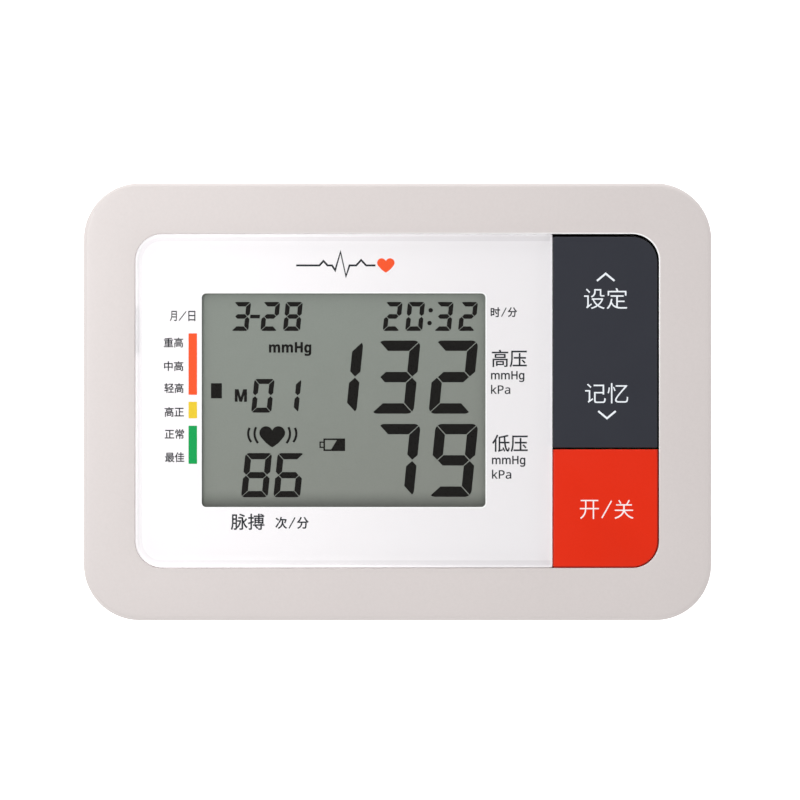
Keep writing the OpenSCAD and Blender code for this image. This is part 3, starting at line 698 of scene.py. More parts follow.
HOSE = Clouded("air_hose_silicone", "silicone_tube")
GLASS = Clouded("display_glass", "cell_glass", (0.6, 0.68, 0.65), 0.35, 0.08)
BOARD = BoardMask("board_solder_mask", "board_green")
SLEEVE = CellSleeve("cell_sleeve_print", "cell_label")
CAN_SLEEVE = Ink("capacitor_sleeve", "can_sleeve", (0.02, 0.03, 0.075), 0.3, 0.1)
WIRE = Ink("wire_sleeve", "wire_sleeve", (0.48, 0.03, 0.02), 0.35, 0.1)

INNER_FINISHES: dict[Finish, str] = {
    FOAM: "lens_tape",
    PLATED: "case_screws board_screws pump_screws",
    BOARD: "main_board",
    GLASS: "lcd_front_glass lcd_rear_glass",
    REFLECTOR: "lcd_reflector",
    NATURAL: (
        "lcd_frame pressure_sensor wire_headers eccentric_hub wobble_plate pump_housing pump_valve_plate "
        "pump_cover valve_bobbin valve_nozzle air_manifold"
    ),
    STRIP_RUBBER: "zebra_strips",
    EPOXY: "processor_chip small_chips",
    TIN: "crystal_can battery_contacts",
    CAN_SLEEVE: "capacitors",
    BLACK_PLASTIC: "buzzer motor_end_cap",
    MOTOR_STEEL: "motor_can valve_yoke",
    FERRITE: "motor_magnets",
    BRONZE: "motor_bushes",
    CARBON: "motor_brushes",
    GROUND: "motor_shaft drive_pin valve_plunger",
    STACK: "armature",
    COPPER: "commutator valve_coil",
    SEAL_RUBBER: "pump_diaphragm pump_saddles",
    HOSE: "air_tubes",
    WIRE: "hookup_wires",
}


# --- mesh tools


def settle(
    piece: bpy.types.Object, body: Body, finish: Finish, replaces: Iterable[str] = ()
) -> bpy.types.Object:
    """Dresses a finished piece and ties it to the frame.

    Args:
        piece: the object, with its place in its mesh.
        body: the body that it moves with.
        finish: its finish.
        replaces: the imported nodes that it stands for.

    Returns:
        The piece.
    """
    piece.data.materials.clear()
    piece.data.materials.append(finish.material())
    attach(piece, body.value)
    names = list(replaces)
    if names:
        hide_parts(*names)
    log.info("%s: %d faces on %s", piece.name, len(piece.data.polygons), body.value)
    return piece


def to_object(name: str, bm: bmesh.types.BMesh, smooth_angle: float = 32.0) -> bpy.types.Object:
    """Turns a bmesh into a linked object, smooth except at its sharp edges.

    Args:
        name: the object's name.
        bm: the mesh, in metres, which is freed.
        smooth_angle: edges over this many degrees stay sharp.

    Returns:
        The object.
    """
    mesh = bpy.data.meshes.new(name)
    bm.to_mesh(mesh)
    bm.free()
    mesh.shade_smooth()
    mesh.set_sharp_from_angle(angle=math.radians(smooth_angle))
    piece = bpy.data.objects.new(name, mesh)
    bpy.context.scene.collection.objects.link(piece)
    return piece


def arc(x: float, y: float, radius: float, start: float, steps: int, sweep: float = 90.0) -> Outline:
    """Points on an arc.

    Args:
        x: the centre's X.
        y: the centre's Y.
        radius: the arc's radius.
        start: its first angle, in degrees.
        steps: how many pieces it has.
        sweep: how far it turns, in degrees.

    Returns:
        The points, first to last.
    """
    angles = [math.radians(start + sweep * i / steps) for i in range(steps + 1)]
    return [(x + radius * math.cos(a), y + radius * math.sin(a)) for a in angles]


def rounded(x0: float, y0: float, x1: float, y1: float, radii: Sequence[float], steps: int = 12) -> Outline:
    """A rectangle's outline with its own radius at each corner.

    Args:
        x0: the left side.
        y0: the lower side.
        x1: the right side.
        y1: the upper side.
        radii: the radii at the low left, low right, high right and high left.
        steps: how many pieces a corner has.

    Returns:
        The outline, anticlockwise.
    """
    low_left, low_right, high_right, high_left = radii
    corners = [
        (x1 - high_right, y1 - high_right, high_right, 0.0, x1, y1),
        (x0 + high_left, y1 - high_left, high_left, 90.0, x0, y1),
        (x0 + low_left, y0 + low_left, low_left, 180.0, x0, y0),
        (x1 - low_right, y0 + low_right, low_right, 270.0, x1, y0),
    ]
    outline: Outline = []
    for cx, cy, r, start, px, py in corners:
        outline += arc(cx, cy, r, start, steps) if r > 0 else [(px, py)]
    return outline


def slab(bm: bmesh.types.BMesh, outline: Outline, z0: float, z1: float) -> None:
    """Adds an upright prism to a mesh.

    Args:
        bm: the mesh that gets it.
        outline: its outline, anticlockwise, in millimetres.
        z0: its underside.
        z1: its top.
    """
    low = [bm.verts.new((x * MM, y * MM, z0 * MM)) for x, y in outline]
    high = [bm.verts.new((x * MM, y * MM, z1 * MM)) for x, y in outline]
    bm.faces.new(reversed(low))
    bm.faces.new(high)
    for i in range(len(outline)):
        j = (i + 1) % len(outline)
        bm.faces.new((low[i], low[j], high[j], high[i]))


def plate_mesh(outlines: Sequence[Outline], z0: float, z1: float) -> bpy.types.Mesh:
    """A flat plate whose later outlines are holes in its first.

    Args:
        outlines: the outlines, in millimetres.
        z0: its underside.
        z1: its top.

    Returns:
        The plate's mesh, in metres.
    """
    curve = bpy.data.curves.new("plate", "CURVE")
    curve.dimensions = "2D"
    curve.fill_mode = "BOTH"
    curve.extrude = (z1 - z0) / 2
    for outline in outlines:
        spline = curve.splines.new("POLY")
        spline.points.add(len(outline) - 1)
        for mark, (x, y) in zip(spline.points, outline):
            mark.co = (x, y, 0.0, 1.0)
        spline.use_cyclic_u = True
    mesh = curve_to_mesh(curve)
    mesh.transform(Matrix.Scale(MM, 4) @ Matrix.Translation((0, 0, (z0 + z1) / 2)))
    return mesh


def curve_to_mesh(curve: bpy.types.Curve) -> bpy.types.Mesh:
    """Makes a curve or lettering a mesh.

    Args:
        curve: the curve, which is removed.

    Returns:
        Its mesh.
    """
    holder = bpy.data.objects.new("holder", curve)
    bpy.context.scene.collection.objects.link(holder)
    graph = bpy.context.evaluated_depsgraph_get()
    mesh = bpy.data.meshes.new_from_object(holder.evaluated_get(graph), depsgraph=graph)
    bpy.data.objects.remove(holder)
    bpy.data.curves.remove(curve)
    return mesh


def take(bm: bmesh.types.BMesh, mesh: bpy.types.Mesh) -> None:
    """Adds a mesh to a bmesh and removes it."""
    bm.from_mesh(mesh)
    bpy.data.meshes.remove(mesh)


def weld(bm: bmesh.types.BMesh, flat: float = 0.4) -> None:
    """Merges doubles and joins faces that lie in one plane.

    Args:
        bm: the mesh to weld.
        flat: how many degrees off one plane the faces may be.
    """
    bmesh.ops.remove_doubles(bm, verts=bm.verts, dist=2e-6)
    bmesh.ops.dissolve_limit(
        bm, angle_limit=math.radians(flat), use_dissolve_boundaries=False, verts=bm.verts, edges=bm.edges
    )


def refined(node: str, name: str, width: float = 0.0, segments: int = 3) -> bpy.types.Object:
    """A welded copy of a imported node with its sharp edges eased.

    Args:
        node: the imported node.
        name: the new piece's name.
        width: the width of the rounding, in millimetres, or 0 for none.
        segments: how many strips the rounding has.

    Returns:
        The new piece.
    """
    bm = bmesh.new()
    bm.from_mesh(bpy.data.objects[node].data)
    weld(bm)
    piece = to_object(name, bm)
    if width > 0:
        bevel = piece.modifiers.new("eased", "BEVEL")
        bevel.width = width * MM
        bevel.segments = segments
        bevel.limit_method = "ANGLE"
        bevel.angle_limit = math.radians(35.0)
        bevel.use_clamp_overlap = False
        bevel.harden_normals = True
        bevel.miter_outer = "MITER_ARC"
    return piece


def turned(profile: Outline, steps: int) -> bmesh.types.BMesh:
    """A closed shape turned about the Z axis.

    Args:
        profile: radius and height points from the axis at the bottom to the axis at the top.
        steps: how many pieces the turn has.

    Returns:
        The mesh, in metres.
    """
    bm = bmesh.new()
    rings = []
    for r, z in profile:
        if r < 1e-6:
            rings.append([bm.verts.new((0, 0, z * MM))])
            continue
        angles = [2 * math.pi * i / steps for i in range(steps)]
        rings.append([bm.verts.new((r * MM * math.cos(a), r * MM * math.sin(a), z * MM)) for a in angles])
    for low, high in zip(rings, rings[1:]):
        for i in range(steps):
            j = (i + 1) % steps
            corners = [low[i % len(low)], low[j % len(low)], high[j % len(high)], high[i % len(high)]]
            bm.faces.new(list(dict.fromkeys(corners)))
    bmesh.ops.recalc_face_normals(bm, faces=bm.faces)
    return bm


# --- repeated pieces


@dataclass
class Array:
    """A Geometry Nodes tree that stands one piece on a grid of places.

    Attributes:
        name: the finished object's name.
        columns: how many places it has along X.
        rows: how many places it has along Y.
        width: the distance from the first column to the last, in millimetres.
        depth: the distance from the first row to the last, in millimetres.
        centre: the grid's centre, in millimetres.
    """

    name: str
    columns: int
    rows: int
    width: float
    depth: float
    centre: Triple = (0.0, 0.0, 0.0)

    def _tree(self) -> bpy.types.NodeTree:
        """Builds the tree, with named inputs for its sizes.

        Returns:
            The tree.
        """
        tree = bpy.data.node_groups.new(self.name + "_array", "GeometryNodeTree")
        inputs = {"Piece": "Object", "Width": "Float", "Depth": "Float", "Columns": "Int", "Rows": "Int"}
        inputs |= {"Centre": "Vector", "Finish": "Material"}
        for label, kind in inputs.items():
            tree.interface.new_socket(name=label, in_out="INPUT", socket_type="NodeSocket" + kind)
        tree.interface.new_socket(name="Geometry", in_out="OUTPUT", socket_type="NodeSocketGeometry")
        steps = {"Given": tree.nodes.new("NodeGroupInput"), "Result": tree.nodes.new("NodeGroupOutput")}
        links = (
            ("Given", "Width", "MeshGrid", "Size X"),
            ("Given", "Depth", "MeshGrid", "Size Y"),
            ("Given", "Columns", "MeshGrid", "Vertices X"),
            ("Given", "Rows", "MeshGrid", "Vertices Y"),
            ("Given", "Piece", "ObjectInfo", "Object"),
            ("MeshGrid", "Mesh", "InstanceOnPoints", "Points"),
            ("ObjectInfo", "Geometry", "InstanceOnPoints", "Instance"),
            ("InstanceOnPoints", "Instances", "Transform", "Geometry"),
            ("Given", "Centre", "Transform", "Translation"),
            ("Transform", "Geometry", "RealizeInstances", "Geometry"),
            ("RealizeInstances", "Geometry", "SetMaterial", "Geometry"),
            ("Given", "Finish", "SetMaterial", "Material"),
            ("SetMaterial", "Geometry", "Result", "Geometry"),
        )
        for start, outlet, end, inlet in links:
            for kind in (start, end):
                if kind not in steps:
                    steps[kind] = tree.nodes.new("GeometryNode" + kind)
            tree.links.new(steps[start].outputs[outlet], steps[end].inputs[inlet])
        return tree

    def build(self, shape: bmesh.types.BMesh, finish: Finish) -> bpy.types.Object:
        """Stands copies of a shape on the grid as one plain mesh.

        Args:
            shape: the repeated piece about its own origin, which is freed.
            finish: its finish.

        Returns:
            The object, not yet tied to the frame.
        """
        model = to_object(self.name + "_model", shape)
        holder = bpy.data.objects.new(self.name + "_holder", bpy.data.meshes.new(self.name + "_holder"))
        bpy.context.scene.collection.objects.link(holder)
        modifier = holder.modifiers.new("array", "NODES")
        modifier.node_group = self._tree()
        values = {
            "Piece": model,
            "Width": self.width * MM,
            "Depth": self.depth * MM,
            "Columns": self.columns,
            "Rows": self.rows,
            "Centre": tuple(c * MM for c in self.centre),
            "Finish": finish.material(),
        }
        for item in modifier.node_group.interface.items_tree:
            if item.in_out == "INPUT":
                modifier[item.identifier] = values[item.name]
        graph = bpy.context.evaluated_depsgraph_get()
        mesh = bpy.data.meshes.new_from_object(holder.evaluated_get(graph), depsgraph=graph)
        holder.modifiers.remove(modifier)
        bpy.data.objects.remove(holder)
        bpy.data.objects.remove(model)
        mesh.name = self.name
        piece = bpy.data.objects.new(self.name, mesh)
        bpy.context.scene.collection.objects.link(piece)
        return piece


# --- lettering


@dataclass
class Lettering:
    """Generic words and figures, made flat and then fitted to their place.

    Attributes:
        text: what it says.
        x: the middle of its box, in millimetres.
        y: the middle of its box.
        width: the box's width.
        height: the box's height.
        weight: how far each side of its strokes moves out, in millimetres.
        face: the alphabet that its Latin letters are drawn in.
    """

    text: str
    x: float
    y: float
    width: float
    height: float
    weight: float = 0.0
    face: Face = Face.SANS

    def _spelled(self) -> str:
        """Spells the text in the letters of its face.

        Returns:
            The spelled text.
        """
        upper, lower = self.face.value
        spelled = ""
        for letter in self.text:
            if letter.isascii() and letter.isalpha():
                start, first = (upper, "A") if letter.isupper() else (lower, "a")
                letter = chr(start + ord(letter) - ord(first))
            spelled += letter
        return spelled

    def mesh(self, z0: float, z1: float) -> bpy.types.Mesh:
        """The letters as a thin solid.

        Args:
            z0: its underside, in millimetres.
            z1: its top, in millimetres.

        Returns:
            The mesh, in metres.
        """
        font = bpy.data.curves.new("letters", "FONT")
        font.body = self._spelled()
        font.resolution_u = 4
        font.size = self.height
        font.extrude = (z1 - z0) / 2
        mesh = curve_to_mesh(font)
        fatten(mesh, self.weight)
        xs = [v.co.x for v in mesh.vertices]
        ys = [v.co.y for v in mesh.vertices]
        middle = Matrix.Translation((-(min(xs) + max(xs)) / 2, -(min(ys) + max(ys)) / 2, 0.0))
        fit = (self.width / (max(xs) - min(xs)), self.height / (max(ys) - min(ys)), 1.0, 1.0)
        place = Matrix.Translation((self.x, self.y, (z0 + z1) / 2))
        mesh.transform(Matrix.Scale(MM, 4) @ place @ Matrix.Diagonal(fit) @ middle)
        return mesh


@dataclass
class Pair(Lettering):
    """Two characters with a stroke between them, such as month and day.

    Attributes:
        each: each character's share of the whole width.
        lean: how far the stroke's ends lean out, as a share of the width.
    """

    each: float = 0.355
    lean: float = 0.09

    def mesh(self, z0: float, z1: float) -> bpy.types.Mesh:
        """The characters and the stroke as a thin solid.

        Args:
            z0: its underside, in millimetres.
            z1: its top, in millimetres.

        Returns:
            The mesh, in metres.
        """
        each, shift = self.width * self.each, self.width * (1.0 - self.each) / 2
        lean = self.width * self.lean
        bm = bmesh.new()
        for letter, side in zip(self.text, (-1, 1)):
            one = Lettering(letter, self.x + side * shift, self.y, each, self.height, self.weight, self.face)
            take(bm, one.mesh(z0, z1))
        reach = self.height * 0.45
        line = [(self.x - lean, self.y - reach), (self.x + lean, self.y + reach)]
        for outline in stroke_outline(line, self.height * 0.075 + self.weight):
            slab(bm, outline, z0, z1)
        mesh = bpy.data.meshes.new("pair")
        bm.to_mesh(mesh)
        bm.free()
        return mesh


@dataclass
class Digit:
    """A slanted seven-segment figure, or several in one style.

    Attributes:
        lit: the lit segments, from a to g.
        x: the left of its foot, in millimetres.
        y: its foot.
        width: its width before it is slanted.
        height: its height.
        stroke: the width of a segment.
        gap: the bare line between segments.
        slant: how far it leans for each millimetre of height.
    """

    SHAPES = {
        "0": "abcdef",
        "1": "bc",
        "2": "abged",
        "3": "abgcd",
        "6": "afedcg",
        "7": "abc",
        "8": "abcdefg",
        "9": "abfgcd",
    }

    lit: str
    x: float
    y: float
    width: float
    height: float
    stroke: float
    gap: float = 0.3
    slant: float = 0.1

    def outlines(self) -> list[Outline]:
        """Draws each lit segment.

        Returns:
            Their outlines, anticlockwise, in millimetres.
        """
        w, h, s = self.width, self.height, self.stroke
        g = self.gap * 0.7071
        m, half, r = h / 2, s / 2, s * 0.62
        turn = math.degrees(self.gap / 2 / r)
        low = arc(r, r, r, 225.0 + turn, 3, 45.0 - turn)
        side = arc(r, r, r, 225.0 - turn, 3, turn - 45.0)
        flat = low + [(w - x, y) for x, y in reversed(low)] + [(w - s - g, s), (s + g, s)]
        tall = side + [(0.0, m - half * 0.9 - g), (half * 0.95, m - g), (s, m - half - g), (s, s + g)]
        middle = [(half + g, m), (s + g, m + half), (w - s - g, m + half), (w - half - g, m)]
        shapes = {
            "d": flat,
            "a": [(x, h - y) for x, y in flat],
            "g": middle + [(w - s - g, m - half), (s + g, m - half)],
            "e": tall,
            "f": [(x, h - y) for x, y in tall],
            "c": [(w - x, y) for x, y in tall],
            "b": [(w - x, h - y) for x, y in tall],
        }
        placed = []
        for name in self.SHAPES.get(self.lit, self.lit):
            outline = [(self.x + px + py * self.slant, self.y + py) for px, py in shapes[name]]
            placed.append(outline if area(outline) > 0 else outline[::-1])
        return placed


def area(outline: Outline) -> float:
    """Twice an outline's area, above 0 where it runs anticlockwise."""
    return sum(a[0] * b[1] - b[0] * a[1] for a, b in zip(outline, outline[1:] + outline[:1]))


def stroke_outline(path: Outline, width: float) -> list[Outline]:
    """A drawn line as one outline, in a list, mitred at its corners.

    Args:
        path: the line's points.
        width: its width.

    Returns:
        The outline, anticlockwise, as the only one in its list.
    """
    left: Outline = []
    right: Outline = []
    for i, (x, y) in enumerate(path):
        before = Vector(path[max(i - 1, 0)])
        after = Vector(path[min(i + 1, len(path) - 1)])
        here = Vector((x, y))
        into = (here - before).normalized() if i > 0 else (after - here).normalized()
        out = (after - here).normalized() if i < len(path) - 1 else into
        normal = Vector((-(into.y + out.y), into.x + out.x)).normalized()
        reach = width / 2 / max(0.45, normal.dot(Vector((-into.y, into.x))))
        left.append((x + normal.x * reach, y + normal.y * reach))
        right.append((x - normal.x * reach, y - normal.y * reach))
    whole = right + left[::-1]
    return [whole if area(whole) > 0 else whole[::-1]]


def fatten(mesh: bpy.types.Mesh, reach: float) -> None:
    """Moves the upright walls of flat lettering out, which thickens its strokes.

    Args:
        mesh: the lettering, which is changed.
        reach: how far its walls move.
    """
    bm = bmesh.new()
    bm.from_mesh(mesh)
    bmesh.ops.remove_doubles(bm, verts=bm.verts, dist=1e-4)
    bm.normal_update()
    moves = {}
    for v in bm.verts:
        walls = [f.normal for f in v.link_faces if abs(f.normal.z) < 0.5]
        total = sum(walls, Vector()).normalized() if walls else Vector()
        spread = sum(total.dot(n) for n in walls) / len(walls) if walls else 1.0
        moves[v] = total * (reach / max(spread, 0.6))
    for v, move in moves.items():
        v.co += Vector((move.x, move.y, 0.0))
    bm.to_mesh(mesh)
    bm.free()


def heart(x: float, y: float, width: float, height: float, steps: int = 10) -> Outline:
    """A plump heart's outline.

    Args:
        x: its centre's X.
        y: its centre's Y.
        width: its width.
        height: its height.
        steps: how many pieces each lobe has.

    Returns:
        The outline, anticlockwise.
    """
    lobe = width / 4 * 1.04
    top = y + height / 2 - lobe
    tip = y - height / 2
    right = arc(x + width / 2 - lobe, top, lobe, -38.0, steps, 180.0 + 38.0 - 14.0)
    swell = (x + width * 0.25, tip + height * 0.2 + 0.0465)
    half = [(x, tip), (x + width * 0.07, tip + height * 0.045), swell] + right
    return half + [(2 * x - px, py) for px, py in reversed(half[1:])]


def flat_piece(
    name: str,
    body: Body,
    finish: Finish,
    z: Span,
    outlines: Iterable[Outline] = (),
    words: Iterable[Lettering] = (),
    replaces: Iterable[str] = (),
) -> bpy.types.Object:
    """Makes a piece from upright prisms and lettering, and settles it.

    Args:
        name: the piece's name.
        body: the body that it moves with.
        finish: its finish.
        z: its underside and top, in millimetres.
        outlines: the outlines of its prisms.
        words: its lettering.
        replaces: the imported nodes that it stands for.

    Returns:
        The piece.
    """
    bm = bmesh.new()
    for outline in outlines:
        slab(bm, outline, *z)
    for word in words:
        take(bm, word.mesh(*z))
    return settle(to_object(name, bm), body, finish, replaces)


# --- the case


@dataclass
class FrontShell:
    """The grey front case: a crowned frame round the panel, with the tray behind the lens.

    Attributes:
        half_x: half the case's width.
        half_y: half its depth.
        corner: the radius of its upright corners.
        hole_x: half the panel opening's width.
        hole_y: half its depth.
        hole_shift: how far its middle is from the case's middle.
        hole_corner: the radius of its corners.
        top: the height of the face.
        parting: the height of its lower edge.
        rim: the width of the rounded rim round the opening.
        edge: the radius of the face's outer edge.
        crown: how far the face falls from its crest to the rim and to the edge.
        wall: the wall's thickness.
        tray: the underside and top of the tray behind the lens.
        key_side: where the tray ends and the keys begin.
        window: the tray's hole for the display: left, low, right and high.
        pivots: the left sides of the two hangers that hold the rocker.
    """

    half_x: float = 70.0
    half_y: float = 48.75
    corner: float = 12.5
    hole_x: float = 58.4
    hole_y: float = 37.23
    hole_shift: Point = (-0.1, 0.17)
    hole_corner: float = 6.0
    top: float = 42.0
    parting: float = 24.0
    rim: float = 0.22
    edge: float = 1.05
    crown: Span = (0.08, 0.12)
    wall: float = 2.4
    tray: Span = (38.4, 40.0)
    key_side: float = 34.35
    window: Sides = (-45.25, -25.2, 21.25, 25.8)
    pivots: Span = (32.15, 58.55)

    def _sections(self) -> list[Triple]:
        """Works out how the wall's section runs.

        Returns:
            For each point, a share from the opening to the outside, an offset and a height.
        """
        runs: list[Triple] = [(0.0, 0.0, self.tray[0])]
        low_rim = self.top - self.crown[0]
        for i in range(6):
            a = math.radians(90 * i / 5)
            runs.append((0.0, self.rim * (1 - math.cos(a)), low_rim - self.rim * (1 - math.sin(a))))
        band = self.half_x - self.hole_x
        for i in range(13):
            t = max(i, 0.12) / 12
            fall = self.crown[0] * (1 - t / 0.4) ** 2 if t < 0.4 else self.crown[1] * ((t - 0.4) / 0.6) ** 2
            inner = self.rim + (band - self.rim - self.edge) * t
            runs.append((inner / band, 0.0, self.top - fall))
        low_edge = self.top - self.crown[1]
        for i in range(1, 9):
            a = math.radians(90 * i / 8)
            drop = self.edge * (1 - math.cos(a))
            runs.append((1.0, -self.edge * (1 - math.sin(a)), low_edge - drop))
        lip = self.wall - 1.2
        runs += [(1.0, 0.0, self.parting + 0.25), (1.0, -0.2, self.parting)]
        runs += [(1.0, -lip, self.parting), (1.0, -lip, self.parting + 1.4)]
        runs += [(1.0, -self.wall, self.parting + 1.4), (1.0, -self.wall, self.top - self.wall)]
        runs += [(0.0, 1.8, self.top - self.wall), (0.0, 1.8, self.tray[0])]
        return runs

    def _ring(self, share: float, offset: float) -> Outline:
        """Draws one ring of the shell.

        Args:
            share: 0 for the opening, 1 for the outside, or a place between them.
            offset: how far the ring is moved out, in millimetres.

        Returns:
            The ring's outline.
        """
        hx = self.hole_x + (self.half_x - self.hole_x) * share + offset
        hy = self.hole_y + (self.half_y - self.hole_y) * share + offset
        r = self.hole_corner + (self.corner - self.hole_corner) * share + offset
        sx, sy = (c * (1 - share) for c in self.hole_shift)
        return rounded(sx - hx, sy - hy, sx + hx, sy + hy, [r] * 4, 18)

    def build(self) -> bpy.types.Object:
        """Makes the shell, its tray and its key pivots.

        Returns:
            The shell.
        """
        bm = bmesh.new()
        mark = bm.verts.layers.float.new("rim")
        rings = []
        for n, (share, offset, z) in enumerate(self._sections()):
            ring = [bm.verts.new((x * MM, y * MM, z * MM)) for x, y in self._ring(share, offset)]
            # Marks the rim rings beside the keys, top and right only, for the painted highlight of the grey
            # shell.
            for v in ring:
                highlight_beside_keys = v.co.x > self.key_side * MM and v.co.y > -30 * MM
                v[mark] = 1.0 if highlight_beside_keys and 2 <= n <= 6 else 0.0
            rings.append(ring)
        for one, other in zip(rings, rings[1:] + rings[:1]):
            for i in range(len(one)):
                j = (i + 1) % len(one)
                bm.faces.new((one[i], one[j], other[j], other[i]))
        bmesh.ops.recalc_face_normals(bm, faces=bm.faces)
        x, y, r = self.hole_x + 0.4, self.hole_y + 0.4, self.hole_corner
        tray = rounded(-x, -y, self.key_side, y, [r, 0, 0, r])
        take(bm, plate_mesh([tray, rounded(*self.window, [2.0] * 4, 6)], *self.tray))
        for x in self.pivots:
            slab(bm, [(x, 10.7), (x + 2.0, 10.7), (x + 2.0, 15.9), (x, 15.9)], 34.7, self.tray[0] + 0.2)
        piece = to_object("front_shell", bm, 40.0)
        return settle(piece, Body.CASE, GREY_SHELL, ["front_case"])

    def posts(self) -> None:
        """Stands the screw bosses and the board's pillars inside the shell."""
        for name, foot, radius, steps, width, depth in (
            ("case_bosses", 24.0, 3.4, 32, 121.6, 79.1),
            ("board_pillars", 31.6, 2.4, 28, 126.4, 40.0),
        ):
            profile = [(0, foot), (radius, foot), (radius + 0.2, foot + 0.2), (radius + 0.2, 39.6), (0, 39.6)]
            made = Array(name, 2, 2, width, depth).build(turned(profile, steps), GREY_SHELL)
            settle(made, Body.CASE, GREY_SHELL)


@dataclass
class Underside:
    """The white rear case with its feet, screws, battery door and sockets.

    Attributes:
        foot_span: the distances between feet along X and Y.
        foot_radius: a foot's radius.
        latch_x: the middle of the door's latch.
    """

    foot_span: Span = (92.0, 78.0)
    foot_radius: float = 5.0
    latch_x: float = 34.2

    def build(self) -> None:
        """Makes everything below the parting line."""
        settle(refined("rear_case", "rear_shell", 0.25, 2), Body.CASE, WHITE_SHELL, ["rear_case"])
        door = refined("battery_door", "door_panel")
        door.data.shade_flat()
        settle(door, Body.DOOR, WHITE_SHELL, ["battery_door"])
        self.feet()
        self.grip()
        for node, name, finish, width, segments in (
            ("air_jack", "cuff_socket", BLACK_PLASTIC, 0.2, 2),
            ("dc_jack_body", "power_socket", BLACK_PLASTIC, 0.15, 2),
            ("dc_jack_pin", "socket_pin", PIN, 0.25, 3),
            ("aa_cells", "dry_cells", SLEEVE, 0.35, 3),
        ):
            settle(refined(node, name, width, segments), Body.CASE, finish, [node])

    def feet(self) -> None:
        """Stands the four ribbed feet."""
        r = self.foot_radius
        profile = [(0, 0.25), (1.1, 0.25), (1.25, 0.0), (2.0, 0.0), (2.15, 0.25), (2.9, 0.25), (3.05, 0.0),
                   (r - 0.75, 0.0), (r - 0.3, 0.12), (r, 0.5), (r, 2.2), (0, 2.2)]
        feet = Array("rubber_feet_ribbed", 2, 2, *self.foot_span).build(turned(profile, 48), FOOT_RUBBER)
        settle(feet, Body.CASE, FOOT_RUBBER, ["rubber_feet"])

    def grip(self) -> None:
        """Raises the grip ribs and an arrow on the battery door."""
        rib = bmesh.new()
        slab(rib, rounded(-9.0, -0.35, 9.0, 0.35, [0.34] * 4, 5), -0.3, 0.1)
        ribs = Array("door_grip_ribs", 1, 5, 0.0, 7.2, (self.latch_x, 12.0, 1.5)).build(rib, WHITE_SHELL)
        settle(ribs, Body.DOOR, WHITE_SHELL)
        arrow = [(self.latch_x - 3.2, 3.2), (self.latch_x + 3.2, 3.2), (self.latch_x, 6.4)]
        flat_piece("door_arrow", Body.DOOR, WHITE_SHELL, (1.2, 1.6), [arrow])


# --- the panel


